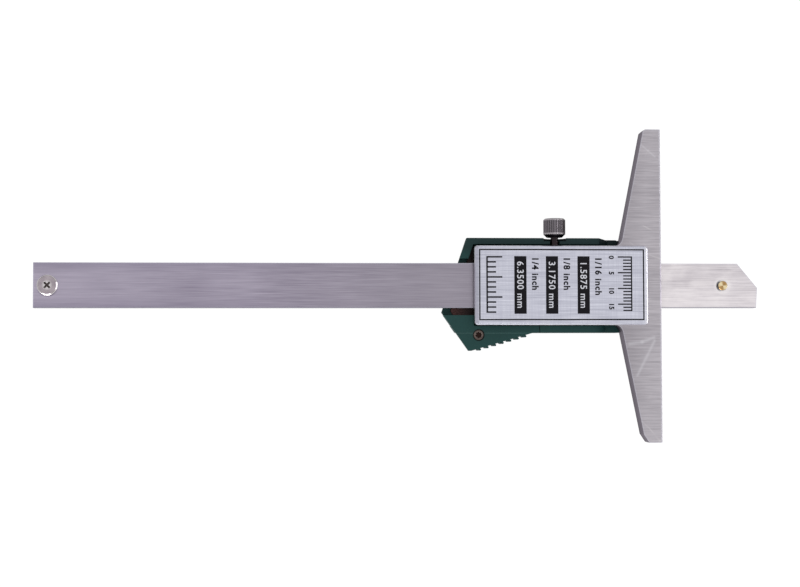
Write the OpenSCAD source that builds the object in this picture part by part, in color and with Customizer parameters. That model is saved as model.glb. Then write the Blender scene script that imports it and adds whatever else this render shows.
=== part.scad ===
// Digital depth gauge with a 150 mm range, lying on its display side with its back up.
// Millimetres. X runs along the beam towards the measuring tip, Y across it towards the lock screw,
// Z up through the back. The origin is the middle of the base's measuring face, at mid beam.

/* [Beam] */
// Length of the beam from its tail to its tip
beam_length = 229.4; // [215:0.1:260]
// Width of the beam
beam_w = 14.2; // [13:0.1:15]
// Thickness of the beam
beam_t = 3.5; // [3:0.1:4]
// Depth reading at rest: how far the tip stands out of the base
reading = 31.6; // [20:0.1:60]
// Length of the slanted cut at the tip
tip_cut = 6.5; // [4:0.1:9]
// Width of the tip's measuring edge
tip_flat = 6.4; // [4:0.1:9]
// How far the measuring edge falls back at its far corner
tip_relief = 0.4; // [0:0.1:1]
// Width of the capacitive scale let into the display side of the beam
scale_w = 11; // [9:0.1:12]
// Thickness of the scale
scale_t = 0.45; // [0.3:0.05:0.7]
// Distance from the beam's tail to the scale
scale_inset = 9; // [8.5:0.5:14]

/* [Stops on the beam] */
// Distance from the beam's tail to the stop screw
stop_inset = 4.4; // [4:0.1:5]
// Diameter of the stop screw's head
stop_head_d = 6.4; // [5:0.1:7]
// Height of the stop screw's head
stop_head_h = 0.85; // [0.6:0.05:1.2]
// Diameter of the stop screw's shank
stop_shank_d = 3; // [2:0.1:3.5]
// Distance from the tip back to the brass pin
pin_inset = 11.4; // [10:0.1:12.5]
// Diameter of the brass pin
pin_d = 3; // [2:0.1:3.4]
// How far the brass pin stands out of the beam
pin_h = 0.9; // [0.5:0.1:1]

/* [Base and slider] */
// Length of the base
base_length = 100; // [75:1:130]
// Width of the base where it meets the slider
base_mid_w = 13; // [11:0.1:15]
// Width of the base at its ends
base_end_w = 5.5; // [4:0.1:8]
// Steel between the beam and the back
back_wall = 1.7; // [1.5:0.1:2.5]
// Steel between the beam and the base's display side
front_wall = 1; // [0.8:0.1:1.2]
// Radius where the base meets the slider
neck_fillet = 3; // [2:0.1:4]
// Chamfer along both long edges of the measuring face
edge_chamfer = 0.4; // [0.2:0.05:0.6]
// Back corner cut at the base's upper end, across and along
upper_cut = [0.6, 0.7];
// Back corner cut at the base's lower end, across and along
lower_cut = [1.2, 2.6];
// Distance from the measuring face to the slider's tail
slider_length = 59.5; // [58:0.1:64]
// Width of the slider
slider_w = 24.8; // [24:0.1:27]
// Thickness of the gib strip that takes up the play beside the beam
gib_t = 1.05; // [0.8:0.05:1.3]
// Diameter of the gib's two set screws
gib_screw_d = 2; // [1.6:0.1:2.4]

/* [Nameplate] */
// Thickness of the nameplate
plate_t = 1; // [0.6:0.1:1.4]
// Distance from the measuring face to the nameplate
plate_setback = 4.5; // [3:0.1:7]
// How far the nameplate reaches past the slider's tail
plate_reach = 0.55; // [0:0.05:1]
// How far the nameplate reaches past each side of the slider
plate_margin = 0.2; // [0:0.05:0.4]
// Radius of the nameplate's corners
plate_corner = 1.1; // [0.9:0.1:2]

/* [Lock screw] */
// Distance from the measuring face to the lock screw
lock_inset = 33.85; // [30:0.05:38]
// Height of the lock screw's axis above the middle of the beam
lock_z = 0.2; // [0:0.05:0.4]
// Diameter of the lock screw's thread
lock_d = 2.4; // [2:0.1:2.6]
// Diameter of the knurled head
lock_head_d = 7; // [6:0.1:8]
// Length of the knurled head
lock_head_h = 6; // [4:0.1:8]
// Space between the housing and the knurled head
lock_stand = 0.25; // [0.2:0.05:1]
// Number of teeth in the knurl
knurl_count = 30; // [24:1:40]

/* [Housing] */
// Gap between the slider and the housing's upper rim
rim_gap_upper = 0.8; // [0.5:0.05:1]
// Gap between the slider and the housing's lower rim
rim_gap_lower = 0.35; // [0.3:0.05:0.6]
// Width of the upper rim
rim_upper = 2; // [1.6:0.1:2.6]
// Width of the lower rim
rim_lower = 2.25; // [1.8:0.05:2.8]
// Width of the slanted rim at the tail
rim_tail = 2.75; // [2.4:0.05:3]
// Height of the rim above the middle of the beam
rim_z = 1.2; // [0.8:0.1:1.5]
// Distance from the slider's tail to the housing's upper tail corner
corner_reach = 2.8; // [2.5:0.1:4]
// Distance from the slider's tail to the housing's tip
tip_reach = 10.8; // [10:0.1:13]
// How far the housing's tip lies below the beam's centre line
tip_drop = 8.5; // [7:0.1:9.5]
// How far the housing's base end reaches under the base
end_lap = 1; // [0.6:0.1:1.6]
// Space inside the housing between the circuit board and the display wall
inner_h = 5.4; // [5:0.1:6.5]
// Thickness of the display wall
wall_t = 1.7; // [1.5:0.1:2]
// Radius of the display side's outer edge
case_round = 1.8; // [1:0.1:2]
// Draft of the slanted tail walls towards the display side, in degrees
tail_draft = 4.5; // [1:0.5:5]

/* [Thumb grip] */
// Distance from the measuring face to where the thumb grip rises from the housing
grip_start = 40.9; // [40:0.1:43]
// Distance from the measuring face to the seam of the grip
grip_seam = 39; // [36:0.1:39.5]
// Slope of the ridged edge
grip_slope = 16; // [13:0.5:18]
// Number of ridges
ridge_count = 7; // [5:1:7]
// Distance from ridge to ridge
ridge_pitch = 2.52; // [2:0.02:2.6]
// Height of a ridge
ridge_h = 0.7; // [0.4:0.02:0.8]
// Radius of a ridge
ridge_r = 0.36; // [0.3:0.01:0.5]
// Width of the open seam at the grip's end
seam_w = 0.22; // [0.1:0.02:0.3]
// Depth at which the grip's back half meets the housing's half
grip_split = 3; // [2.95:0.05:3.6]
// Depth of the grip's display side
grip_depth = 8; // [7:0.1:8.3]
// Diameter of the grip screw's head
grip_head_d = 3.1; // [2.6:0.1:3.6]

/* [Electronics] */
// Thickness of the circuit board
board_t = 1; // [0.8:0.1:1.2]
// Length of the display glass
lcd_l = 24; // [20:0.1:25]
// Width of the display glass
lcd_w = 13; // [11:0.1:13.4]
// Thickness of the display glass
lcd_t = 1.9; // [1.4:0.1:2.4]
// Length of the pill-shaped buttons
button_l = 6.8; // [6:0.1:7]
// Width of the buttons
button_w = 4.6; // [4:0.1:4.8]
// Distance from button to button
button_pitch = 8.2; // [8:0.1:8.4]
// How far a button travels
button_travel = 0.4; // [0.2:0.05:0.5]
// Diameter of the coin cell
cell_d = 20; // [18:0.5:20]
// Thickness of the coin cell
cell_t = 3.2; // [2.5:0.1:3.2]
// Width of the data port
port_w = 7; // [6:0.1:7.6]
// Height of the data port
port_h = 2.6; // [2:0.1:3]

/* [Clearances] */
// Running gap between the beam and the slider
slide_gap = 0.05; // [0.03:0.01:0.1]
// Gap between the beam and the circuit board's pickups
reader_gap = 0.15; // [0.1:0.01:0.25]
// Gap between fitted pieces
fit_gap = 0.05; // [0.03:0.01:0.1]
// Gap around pieces that are pressed, slid or pulled by hand
hand_gap = 0.12; // [0.08:0.01:0.2]

/* [Hidden] */
$fn = 48;
reach = 1; // how far a cutting body runs past what it cuts
groove_gap = 0.15; // room around the brass pin in its groove

tip_x = reading;
tail_x = reading - beam_length;
beam_half = beam_w / 2;
beam_back = beam_t / 2;
scale_bed = scale_t + slide_gap;
pin_x = tip_x - pin_inset;
stop_x = tail_x + stop_inset;
scale_x = [tail_x + scale_inset, pin_x - pin_d / 2 - 2];

slot_half = beam_half + slide_gap;
slot_back = beam_back + slide_gap;
base_back = slot_back + back_wall;
base_front = -slot_back - front_wall;
slider_front = -beam_back - reader_gap;
slider_half = slider_w / 2;
slider_x = -slider_length;
channel_x = -base_mid_w - 1;
gib_y = slot_half + gib_t;
channel_top = gib_y + 0.15;
gib_x = [slider_x + 1, channel_x - 1];
gib_screw_x = [slider_x + 12.5, channel_x - 8];
gib_dog = [gib_screw_d * 0.3, 0.35];
groove_end = pin_inset + pin_d / 2 + 1;

lock_x = -lock_inset;
lock_pad_y = [gib_y + 0.1, gib_y + 1.3];

board_front = slider_front - board_t;
wall_back = board_front - inner_h;
case_front = wall_back - wall_t;
case_x = -base_mid_w + end_lap;
case_upper = slider_half + rim_gap_upper + rim_upper;
case_lower = -slider_half - rim_gap_lower - rim_lower;
case_inner = [-slider_half - rim_gap_lower, slider_half + rim_gap_upper];
case_corner = [slider_x - corner_reach, case_upper];
case_tip = [slider_x - tip_reach, -tip_drop];
notch_y = [-beam_half - 2.3, beam_half + 1.5];
notch_z = -beam_back - 0.2;

lower_run = [0.7018, -1];
case_end_r = 0.6;
case_low = [case_tip.x + lower_run.x * (case_tip.y - case_lower), case_lower];
case_shape = [
    [case_x, case_upper, case_end_r],
    [case_corner.x, case_corner.y, 0.5],
    [case_tip.x, case_tip.y, 1],
    [case_low.x, case_low.y, 0.5],
    [case_x, case_lower, case_end_r]
];
end_wall = 1.7;
inner_end = case_x - end_wall;
upper_drop = [case_x - 7.6, case_x - 4.1]; // where the upper rim slopes down below the steel
upper_narrow = 0.5; // how much narrower the upper rim is from there on
lower_drop = [case_x - 12, case_x - 5]; // where the lower rim curves down below the steel

grip_root = [-grip_start, case_lower];
grip_run = [cos(grip_slope), sin(grip_slope)];
grip_out = [sin(grip_slope), -cos(grip_slope)];
grip_toe = line_cross(case_tip, lower_run, grip_root, grip_run);
grip_toe_r = 1.3;
first_ridge = 3.6;
grip_step = 0.25;
grip_screw = [slider_x + 1.1, case_lower - 0.7];
flange_x = slider_x - 0.4;
flange_z = slider_front + 0.2;

cell_play = 0.3;
bay_r = cell_d / 2 + cell_play;
bay_wall = 0.9;
cell = [slider_x + 14.4 - cell_d / 2, -1];
cell_back = wall_back + 0.2 + cell_t;
contact_turn = 47;
hatch_x = cell.x + bay_r + 0.5;
hatch_half = cell_d / 2 + 1.2;
tongue = [0.8, 0.7];
tongue_z = case_front + 0.45;

tray_rim = 1;
tray_l = lcd_l + 2 * tray_rim;
tray_w = lcd_w + 2 * tray_rim;
lcd = [(hatch_x + inner_end) / 2, 3.9];
lcd_back = wall_back + fit_gap + lcd_t;
zebra_w = 1.6;
panel_t = 0.4;
window_t = 0.8;
view_l = lcd_l - 2;
view_w = lcd_w - 2.4;
button_y = -slider_half + 4.4;
button_x = [for (i = [-1:1]) lcd.x - 0.5 + i * button_pitch];
button_sink = 0.2;

board_y = slider_half - 0.2;
board_x = channel_x - 0.9;
case_screw_d = 1.6;
case_screw_bite = 2.8; // length of its thread in the housing
case_boss_r = case_screw_d / 2 + 0.9;
case_screws = [
    [slider_x + 2, slider_half - 1.9],
    [cell.x + 8.1, -slider_half + 2.2],
    [case_x - 4.3, -slider_half + 1.6]
];
port = [lcd.x - tray_l / 2 - port_w / 2 + 0.4, board_front - 1.3 - port_h / 2];
port_lip = 0.8;

// Where two lines cross, each given by a point and a direction
function line_cross(p, u, q, v) = p + u * cross(q - p, v) / cross(u, v);
function unit(v) = v / norm(v);
function flat(p) = [p.x, p.y];

// Points of the arc that rounds corner b between its neighbours a and c
function corner_arc(a, b, c, r, steps) =
    r <= 0 ? [b] :
    let (
        u = unit(a - b),
        w = unit(c - b),
        half = acos(u * w) / 2,
        centre = b + unit(u + w) * r / sin(half),
        from = b + u * r / tan(half) - centre,
        to = b + w * r / tan(half) - centre,
        start = atan2(from.y, from.x),
        turn = (atan2(to.y, to.x) - start + 540) % 360 - 180
    )
    [for (i = [0:steps]) centre + r * [cos(start + turn * i / steps), sin(start + turn * i / steps)]];

// An outline of [x, y, radius] corners with each corner rounded
function rounded(shape, steps = 6) =
    let (n = len(shape))
    [for (i = [0:n - 1]) each corner_arc(
        flat(shape[(i + n - 1) % n]), flat(shape[i]), flat(shape[(i + 1) % n]), shape[i][2], steps)];

// A convex outline, counter-clockwise, moved inwards by d
function inset(shape, d) =
    let (n = len(shape))
    [for (i = [0:n - 1])
        let (
            b = flat(shape[i]),
            u = unit(b - flat(shape[(i + n - 1) % n])),
            w = unit(flat(shape[(i + 1) % n]) - b),
            p = line_cross(b + d * [-u.y, u.x], u, b + d * [-w.y, w.x], w)
        )
        [p.x, p.y, max(shape[i][2] - d, 0)]];

// Inside of the housing: d in from its slanted tail, straight between y0 and y1, open at x1
function tail_line(d) = inset(case_shape, d);
function inside(d, y0, y1, x1) =
    let (
        s = tail_line(d),
        upper = line_cross([0, y1], [1, 0], flat(s[1]), flat(s[2]) - flat(s[1])),
        lower = line_cross([0, y0], [1, 0], flat(s[2]), flat(s[3]) - flat(s[2]))
    )
    [[x1, y1], upper, flat(s[2]), lower, [x1, y0]];

// How far back from the measuring face the base reaches at a distance y from its middle
function base_edge(y) =
    -base_mid_w + (base_mid_w - base_end_w) * (y - slider_half) / (base_length / 2 - slider_half);

module slab(points, z0, z1) {
    translate([0, 0, z0]) linear_extrude(z1 - z0) polygon(points);
}

module block(low, high) {
    translate(low) cube(high - low);
}

module post(at, z0, z1, r) {
    translate([at.x, at.y, z0]) cylinder(h = z1 - z0, r = r);
}

module rod_y(x, z, y0, y1, r) {
    translate([x, y0, z]) rotate([-90, 0, 0]) cylinder(h = y1 - y0, r = r);
}

module pill(at, l, w, z0, z1) {
    for (side = [-1, 1]) post(at + [side * (l - w) / 2, 0], z0, z1, w / 2);
    block([at.x - (l - w) / 2, at.y - w / 2, z0], [at.x + (l - w) / 2, at.y + w / 2, z1]);
}

module centred_block(at, l, w, z0, z1) {
    block([at.x - l / 2, at.y - w / 2, z0], [at.x + l / 2, at.y + w / 2, z1]);
}

module cross_recess(l, w, depth) {
    for (turn = [0, 90]) rotate(turn) translate([-l / 2, -w / 2, -depth]) cube([l, w, depth + reach]);
}

module beam() {
    outline = [
        [tail_x, -beam_half],
        [tip_x - tip_relief, -beam_half],
        [tip_x, tip_flat - beam_half],
        [tip_x - tip_cut, beam_half],
        [tail_x, beam_half]
    ];
    color("silver") difference() {
        slab(outline, -beam_back, beam_back);
        block([scale_x[0], -scale_w / 2, -beam_back - reach], [scale_x[1], scale_w / 2, scale_bed - beam_back]);
        post([stop_x, 0], -beam_back - reach, beam_back + reach, stop_shank_d / 2 + fit_gap);
        post([pin_x, 0], -beam_back / 2, beam_back + reach, pin_d / 2);
    }
}

module scale_strip() {
    color("dimgray") block(
        [scale_x[0] + fit_gap, fit_gap - scale_w / 2, slide_gap - beam_back],
        [scale_x[1] - fit_gap, scale_w / 2 - fit_gap, scale_bed - beam_back]);
}

module stop_screw() {
    bevel = stop_head_h * 0.5;
    color("gainsboro") translate([stop_x, 0, beam_back]) difference() {
        union() {
            rotate_extrude() polygon([
                [0, 0], [stop_head_d / 2, 0], [stop_head_d / 2, stop_head_h - bevel],
                [stop_head_d / 2 - bevel, stop_head_h], [0, stop_head_h]
            ]);
            translate([0, 0, 0.1 - beam_t]) cylinder(h = beam_t, r = stop_shank_d / 2);
        }
        translate([0, 0, stop_head_h]) rotate(45) cross_recess(2.5, 0.65, stop_head_h * 0.7);
    }
}

module stop_pin() {
    edge = 0.15;
    color("goldenrod") translate([pin_x, 0, -beam_back / 2]) rotate_extrude() polygon([
        [0, 0], [pin_d / 2, 0], [pin_d / 2, 1.5 * beam_back + pin_h - edge],
        [pin_d / 2 - edge, 1.5 * beam_back + pin_h], [0, 1.5 * beam_back + pin_h]
    ]);
}

module base_outline() {
    half = base_length / 2;
    polygon([
        [0, -half], [0, half],
        [base_edge(half) + upper_cut.x, half], [base_edge(half - upper_cut.y), half - upper_cut.y],
        [-base_mid_w, slider_half], [-base_mid_w, -slider_half],
        [base_edge(half - lower_cut.y), lower_cut.y - half], [base_edge(half) + lower_cut.x, -half]
    ]);
}

// The web that rounds the corner between the slider's side and the base's slanted back edge
module neck_web() {
    slant = atan((base_mid_w - base_end_w) / (base_length / 2 - slider_half));
    run = neck_fillet * (1 - sin(slant)) / cos(slant);
    centre = [-base_mid_w - run, slider_half + neck_fillet];
    difference() {
        polygon([
            [-base_mid_w + reach, slider_half - reach], [-base_mid_w - run, slider_half - reach],
            [-base_mid_w - run, slider_half], centre,
            [-base_mid_w, slider_half] + run * [sin(slant), cos(slant)]
        ]);
        translate(centre) circle(neck_fillet, $fn = 96);
    }
}

module base_frame() {
    c = edge_chamfer;
    color("lightgray") difference() {
        union() {
            intersection() {
                translate([0, 0, base_front]) linear_extrude(base_back - base_front) union() {
                    base_outline();
                    neck_web();
                    mirror([0, 1]) neck_web();
                }
                translate([0, base_length, 0]) rotate([90, 0, 0]) linear_extrude(2 * base_length) polygon([
                    [-2 * base_mid_w, base_front], [-c, base_front], [0, base_front + c],
                    [0, base_back - c], [-c, base_back], [-2 * base_mid_w, base_back]
                ]);
            }
            block([slider_x, -slider_half, slider_front], [-base_mid_w + reach, slider_half, base_back]);
        }
        block([slider_x - reach, -slot_half, -slot_back], [reach, slot_half, slot_back]);
        block([slider_x - reach, -slot_half, base_front - reach], [channel_x, channel_top, slot_back]);
        block([slider_x - reach, -slider_half - reach, base_front - reach],
              [channel_x, slider_half + reach, slider_front]);
        block([pin_d / 2 - groove_end, -pin_d / 2 - groove_gap, 0],
              [reach, pin_d / 2 + groove_gap, beam_back + pin_h + groove_gap]);
        post([pin_d / 2 - groove_end, 0], 0, beam_back + pin_h + groove_gap, pin_d / 2 + groove_gap);
        rod_y(lock_x, lock_z, slot_half, slider_half + reach, lock_d / 2 + slide_gap);
        for (x = gib_screw_x) rod_y(x, 0, slot_half, slider_half + reach, gib_screw_d / 2 + fit_gap);
        for (at = case_screws) {
            post(at, slider_front - reach, base_back + reach, case_screw_d / 2 + fit_gap);
            post(at, base_back - 0.9, base_back + reach, case_screw_d);
        }
    }
}

module nameplate() {
    edge = plate_t * 0.75;
    x = [slider_x - plate_reach + plate_corner, -plate_setback - plate_corner];
    y = slider_half + plate_margin - plate_corner;
    color("lightsteelblue") translate([0, 0, base_back]) hull() {
        for (px = x, py = [-y, y]) translate([px, py, 0]) rotate_extrude($fn = 32) polygon([
            [0, 0], [plate_corner, 0], each [for (a = [0:15:90]) [
                plate_corner - edge * (1 - cos(a)), plate_t - edge * (1 - sin(a))]], [0, plate_t]
        ]);
    }
}

module gib_strip() {
    color("khaki") difference() {
        block([gib_x[0], slot_half, -beam_back + 0.1], [gib_x[1], gib_y, beam_back - 0.1]);
        for (x = gib_screw_x) rod_y(x, 0, gib_y - gib_dog[1], gib_y + reach, gib_dog[0] + fit_gap);
    }
}

module gib_screws() {
    color("dimgray") for (x = gib_screw_x) difference() {
        union() {
            rod_y(x, 0, gib_y + fit_gap, slider_half - 0.6, gib_screw_d / 2);
            rod_y(x, 0, gib_y - gib_dog[1] + fit_gap, gib_y + reach, gib_dog[0]);
        }
        block([x - gib_screw_d, slider_half - 1.3, -0.2], [x + gib_screw_d, slider_half, 0.2]);
    }
}

module knurled_outline(r, depth) {
    polygon([for (i = [0:2 * knurl_count - 1])
        (r - (i % 2) * depth) * [cos(i * 180 / knurl_count), sin(i * 180 / knurl_count)]]);
}

module lock_screw() {
    head_y = case_upper + lock_stand;
    r = lock_head_d / 2;
    lower = 1;
    top = 0.45;
    past = 0.3;
    color("gray") {
        translate([lock_x, head_y, lock_z]) rotate([-90, 0, 0]) intersection() {
            linear_extrude(lock_head_h) knurled_outline(r, 0.22);
            rotate_extrude() polygon([
                [0, 0], [r - lower, 0], [r + past, lower + past], [r + past, lock_head_h - top - past],
                [r - top, lock_head_h], [0, lock_head_h]
            ]);
        }
        rod_y(lock_x, lock_z, lock_pad_y[1] + 0.02, head_y + fit_gap, lock_d / 2);
    }
}

module lock_pad() {
    color("goldenrod") rod_y(lock_x, lock_z, lock_pad_y[0], lock_pad_y[1], lock_d / 2 - 0.05);
}

// What the draft of the two slanted tail walls takes away below the rim
module tail_undercut() {
    long = base_length;
    lift = 0.3;
    for (run = [case_corner - case_tip, case_low - case_tip]) {
        side = run.y > 0 ? 1 : -1;
        translate([case_tip.x, case_tip.y, rim_z + lift]) rotate(atan2(run.y, run.x))
            rotate([-side * tail_draft, 0, 0])
                translate([-long, side > 0 ? 0 : -long, -long]) cube([2 * long, long, long]);
    }
}

// The housing's outer form down to y = case_lower, with its display side rounded
module case_body() {
    z = case_front + case_round;
    steps = 5;
    difference() {
        union() {
            slab(rounded(case_shape), z, rim_z);
            slab(rounded(inset(case_shape, case_round)), case_front, z + reach);
            hull() for (i = [0:steps]) let (a = 90 * i / steps, z1 = z - (case_round - 0.03) * sin(a))
                slab(rounded(inset(case_shape, case_round * (1 - cos(a)))), z1, z1 + 0.02);
        }
        tail_undercut();
    }
}

module grip_wedge(z0, z1) {
    difference() {
        slab(rounded([
            [grip_root.x, grip_root.y + reach, 0], [case_low.x, case_low.y + reach, 0],
            [case_low.x, case_low.y, 0], [grip_toe.x, grip_toe.y, grip_toe_r], [grip_root.x, grip_root.y, 0]
        ]), z0, z1);
        tail_undercut();
    }
}

module ridges(z0, z1) {
    for (i = [0:ridge_count - 1])
        post(grip_toe + (first_ridge + i * ridge_pitch) * grip_run + (ridge_h - ridge_r) * grip_out, z0, z1, ridge_r);
}

module battery_hatch(gap, z0, z1) {
    block([case_tip.x - reach, cell.y - hatch_half - gap, z0], [hatch_x + gap, cell.y + hatch_half + gap, z1]);
}

module hatch_tongues(gap) {
    for (side = [-1, 1]) {
        y = cell.y + side * hatch_half;
        w = tongue[0] + gap;
        block([case_tip.x - reach, min(y - side * reach, y + side * w), tongue_z - gap],
              [hatch_x + gap, max(y - side * reach, y + side * w), tongue_z + tongue[1] + gap]);
    }
}

module port_plate(gap) {
    block([port.x - port_w / 2 - port_lip - gap, case_upper - 0.8 - gap, port.y - port_h / 2 - port_lip - gap],
          [port.x + port_w / 2 + port_lip + gap, case_upper + (gap > 0 ? reach : 0), port.y + port_h / 2 + port_lip + gap]);
}

module inner_space() {
    space = inside(rim_tail + 0.5, case_inner[0] + 1.3, case_inner[1] - 1.4, inner_end);
    difference() {
        slab(space, wall_back, board_front + reach);
        difference() {
            post(cell, wall_back - reach, board_front - 0.4, bay_r + bay_wall);
            post(cell, wall_back - 2 * reach, board_front, bay_r);
            translate([cell.x, cell.y, 0]) rotate(contact_turn)
                block([0, -2.1, cell_back - cell_t], [bay_r + bay_wall + reach, 2.1, board_front]);
        }
        for (at = case_screws) post(at, wall_back - reach, board_front, case_boss_r);
    }
}

// The shell's opening towards the back: the slider's seat, the board's ledge and the beam's notch
module back_openings() {
    slab(inside(rim_tail, -board_y - 0.15, board_y + 0.15, board_x + 0.3), board_front, rim_z + reach);
    slab(inside(rim_tail, case_inner[0], case_inner[1], case_x + reach), slider_front, rim_z + reach);
    block([flange_x, case_inner[0], board_front], [case_x + reach, case_inner[1], rim_z + reach]);
    block([case_tip.x - reach, notch_y[0], notch_z], [slider_x, notch_y[1], rim_z + reach]);
}

module grip_seat() {
    block([case_tip.x - reach, case_lower - reach, -grip_split],
          [-grip_seam + seam_w, case_inner[0] + 0.1, rim_z + reach]);
    block([case_tip.x - reach, case_lower - reach, flange_z], [flange_x, notch_y[0] + fit_gap, rim_z + reach]);
}

// The end by the base drops below the steel: a slope on the lock side, a rounded ramp on the other
module base_end_drop() {
    z = base_front - 0.1;
    past = case_x + reach;
    translate([0, case_upper + reach, 0]) rotate([90, 0, 0]) linear_extrude(case_upper + reach) polygon([
        [upper_drop[0], rim_z], [upper_drop[1], z], [past, z], [past, rim_z + reach], [upper_drop[0], rim_z + reach]
    ]);
    slab([
        [upper_drop[0], case_upper], [upper_drop[1], case_upper - upper_narrow], [past, case_upper - upper_narrow],
        [past, case_upper + reach], [upper_drop[0], case_upper + reach]
    ], case_front + case_round + 1, rim_z + reach);
    rotate([90, 0, 0]) linear_extrude(reach - case_lower) polygon([
        each [for (a = [0:10:90]) [
            lower_drop[0] + (lower_drop[1] - lower_drop[0]) * sin(a), rim_z + 0.01 - (rim_z - z) * (1 - cos(a))]],
        [past, z], [past, rim_z + reach], [lower_drop[0], rim_z + reach]
    ]);
}

module display_openings() {
    panel = [for (p = panel_shape(0)) [p.x, p.y]];
    slab(panel, case_front - reach, case_front + panel_t);
    centred_block(lcd, view_l + 2.2, view_w + 2.2, case_front, case_front + panel_t + window_t);
    centred_block(lcd, view_l, view_w, case_front, wall_back + reach);
    for (x = button_x) pill([x, button_y], button_l + 2 * hand_gap, button_w + 2 * hand_gap, case_front, wall_back + reach);
    battery_hatch(0, case_front - reach, wall_back);
    hatch_tongues(hand_gap);
    post(cell, case_front, board_front, bay_r);
}

module lock_notch() {
    rod_y(lock_x, lock_z, case_upper - 1, case_upper + reach, lock_head_d / 2 + 0.25);
    rod_y(lock_x, lock_z, case_inner[1] - reach, case_upper + reach, lock_d / 2 + 0.4);
    block([lock_x - lock_d / 2 - 0.4, case_inner[1] - reach, lock_z],
          [lock_x + lock_d / 2 + 0.4, case_upper + reach, rim_z + reach]);
}

module front_housing() {
    color([0.12, 0.27, 0.25]) difference() {
        union() {
            case_body();
            grip_wedge(-grip_depth, -grip_split);
            ridges(-grip_depth + 0.6, -grip_split);
        }
        inner_space();
        back_openings();
        grip_seat();
        base_end_drop();
        display_openings();
        lock_notch();
        for (x = gib_screw_x) rod_y(x, 0, case_inner[1] - reach, case_upper + reach, gib_screw_d * 0.42);
        for (at = case_screws) post(at, board_front - case_screw_bite - 0.2, board_front + reach, case_screw_d / 2);
        post(grip_screw, -grip_depth + 1, -grip_split + reach, 0.8);
        port_plate(hand_gap);
        block([port.x - port_w / 2, case_inner[1] - 2.2, port.y - port_h / 2],
              [port.x + port_w / 2, case_upper, port.y + port_h / 2]);
    }
}

module thumb_grip() {
    top = rim_z - grip_step;
    color([0.14, 0.3, 0.28]) difference() {
        union() {
            grip_wedge(-grip_split + fit_gap, top);
            ridges(-grip_split + fit_gap, top);
            intersection() {
                slab(rounded(case_shape), -grip_split + fit_gap, rim_z);
                union() {
                    block([case_tip.x - reach, case_lower - reach, -grip_split],
                          [-grip_seam, case_inner[0], rim_z + reach]);
                    block([case_tip.x - reach, case_lower - reach, flange_z + fit_gap],
                          [flange_x - fit_gap, notch_y[0], rim_z + reach]);
                }
            }
        }
        slab(inside(rim_tail, -board_y - 0.15, board_y, flange_x), -grip_split - reach, flange_z + fit_gap);
        post(grip_screw, -grip_split - reach, rim_z + reach, 0.9);
        post(grip_screw, top - 1.1, rim_z + reach, grip_head_d / 2 + 0.2);
    }
}

module housing_screws() {
    color("dimgray") for (at = case_screws) difference() {
        union() {
            post(at, board_front - case_screw_bite, base_back - 0.5, case_screw_d / 2);
            post(at, base_back - 0.85, base_back - 0.1, case_screw_d - 0.1);
        }
        translate([at.x, at.y, base_back - 0.1]) cross_recess(1.8, 0.4, 0.4);
    }
}

module grip_screw() {
    top = rim_z - grip_step - 0.25;
    color([0.35, 0.28, 0.22]) difference() {
        union() {
            post(grip_screw, -grip_depth + 1.3, top - 0.4, 0.75);
            post(grip_screw, rim_z - grip_step - 1.05, top, grip_head_d / 2);
        }
        translate([grip_screw.x, grip_screw.y, top]) rotate(28) cross_recess(1.9, 1.1, 0.6);
    }
}

module circuit_board() {
    color([0.42, 0.2, 0.14]) difference() {
        slab(inside(rim_tail + 0.15, -board_y, board_y, board_x), board_front, slider_front);
        for (at = case_screws) post(at, board_front - reach, slider_front + reach, case_screw_d / 2 + 0.15);
    }
}

module board_chips() {
    face = board_front;
    color([0.08, 0.08, 0.08]) {
        translate([lcd.x, lcd.y, face]) mirror([0, 0, 1]) rotate_extrude() polygon([
            [0, 0], [3.6, 0], [3.4, 0.5], [2.6, 1], [1.2, 1.25], [0, 1.3]
        ]);
        centred_block([lcd.x + 7.5, lcd.y], 3.8, 1.5, face - 1.3, face);
        for (i = [0:2]) centred_block([lcd.x - 8, lcd.y - 2.5 + 2.5 * i], 2, 1.2, face - 0.7, face);
    }
}

module lcd_panel() {
    color([0.62, 0.68, 0.6]) centred_block(
        lcd, lcd_l - fit_gap, lcd_w - fit_gap, wall_back + fit_gap, lcd_back);
}

module zebra_slots(grow, z0, z1) {
    for (side = [-1, 1])
        centred_block(lcd + [0, side * (lcd_w - zebra_w) / 2 - side * 0.2], lcd_l - 2 + grow, zebra_w + grow, z0, z1);
}

module lcd_tray() {
    color("whitesmoke") difference() {
        centred_block(lcd, tray_l, tray_w, wall_back + fit_gap, board_front);
        centred_block(lcd, lcd_l, lcd_w, wall_back - reach, lcd_back);
        zebra_slots(2 * fit_gap, wall_back, board_front + reach);
        centred_block(lcd, lcd_l - 1, lcd_w - 2 * zebra_w - 1.6, wall_back, board_front + reach);
    }
}

module zebra_strips() {
    color("hotpink") zebra_slots(0, lcd_back, board_front);
}

module lcd_window() {
    color([0.8, 0.85, 0.9, 0.4]) centred_block(
        lcd, view_l + 2, view_w + 2, case_front + panel_t, case_front + panel_t + window_t);
}

// The front panel stops short of the rounded edge and of the battery cover
function panel_shape(gap) =
    let (
        x0 = hatch_x + 1 + gap,
        x1 = case_x - case_round - 0.3 - gap,
        y0 = case_lower + case_round + 0.4 + gap,
        y1 = case_upper - case_round - 0.4 - gap
    )
    rounded([[x1, y1, 1.5], [x0, y1, 0.8], [x0, y0, 0.8], [x1, y0, 1.5]]);

module front_panel() {
    color("silver") difference() {
        slab(panel_shape(fit_gap), case_front + 0.03, case_front + panel_t);
        centred_block(lcd, view_l, view_w, case_front - reach, case_front + reach);
        for (x = button_x)
            pill([x, button_y], button_l + 2 * hand_gap, button_w + 2 * hand_gap, case_front - reach, case_front + reach);
    }
}

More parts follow.
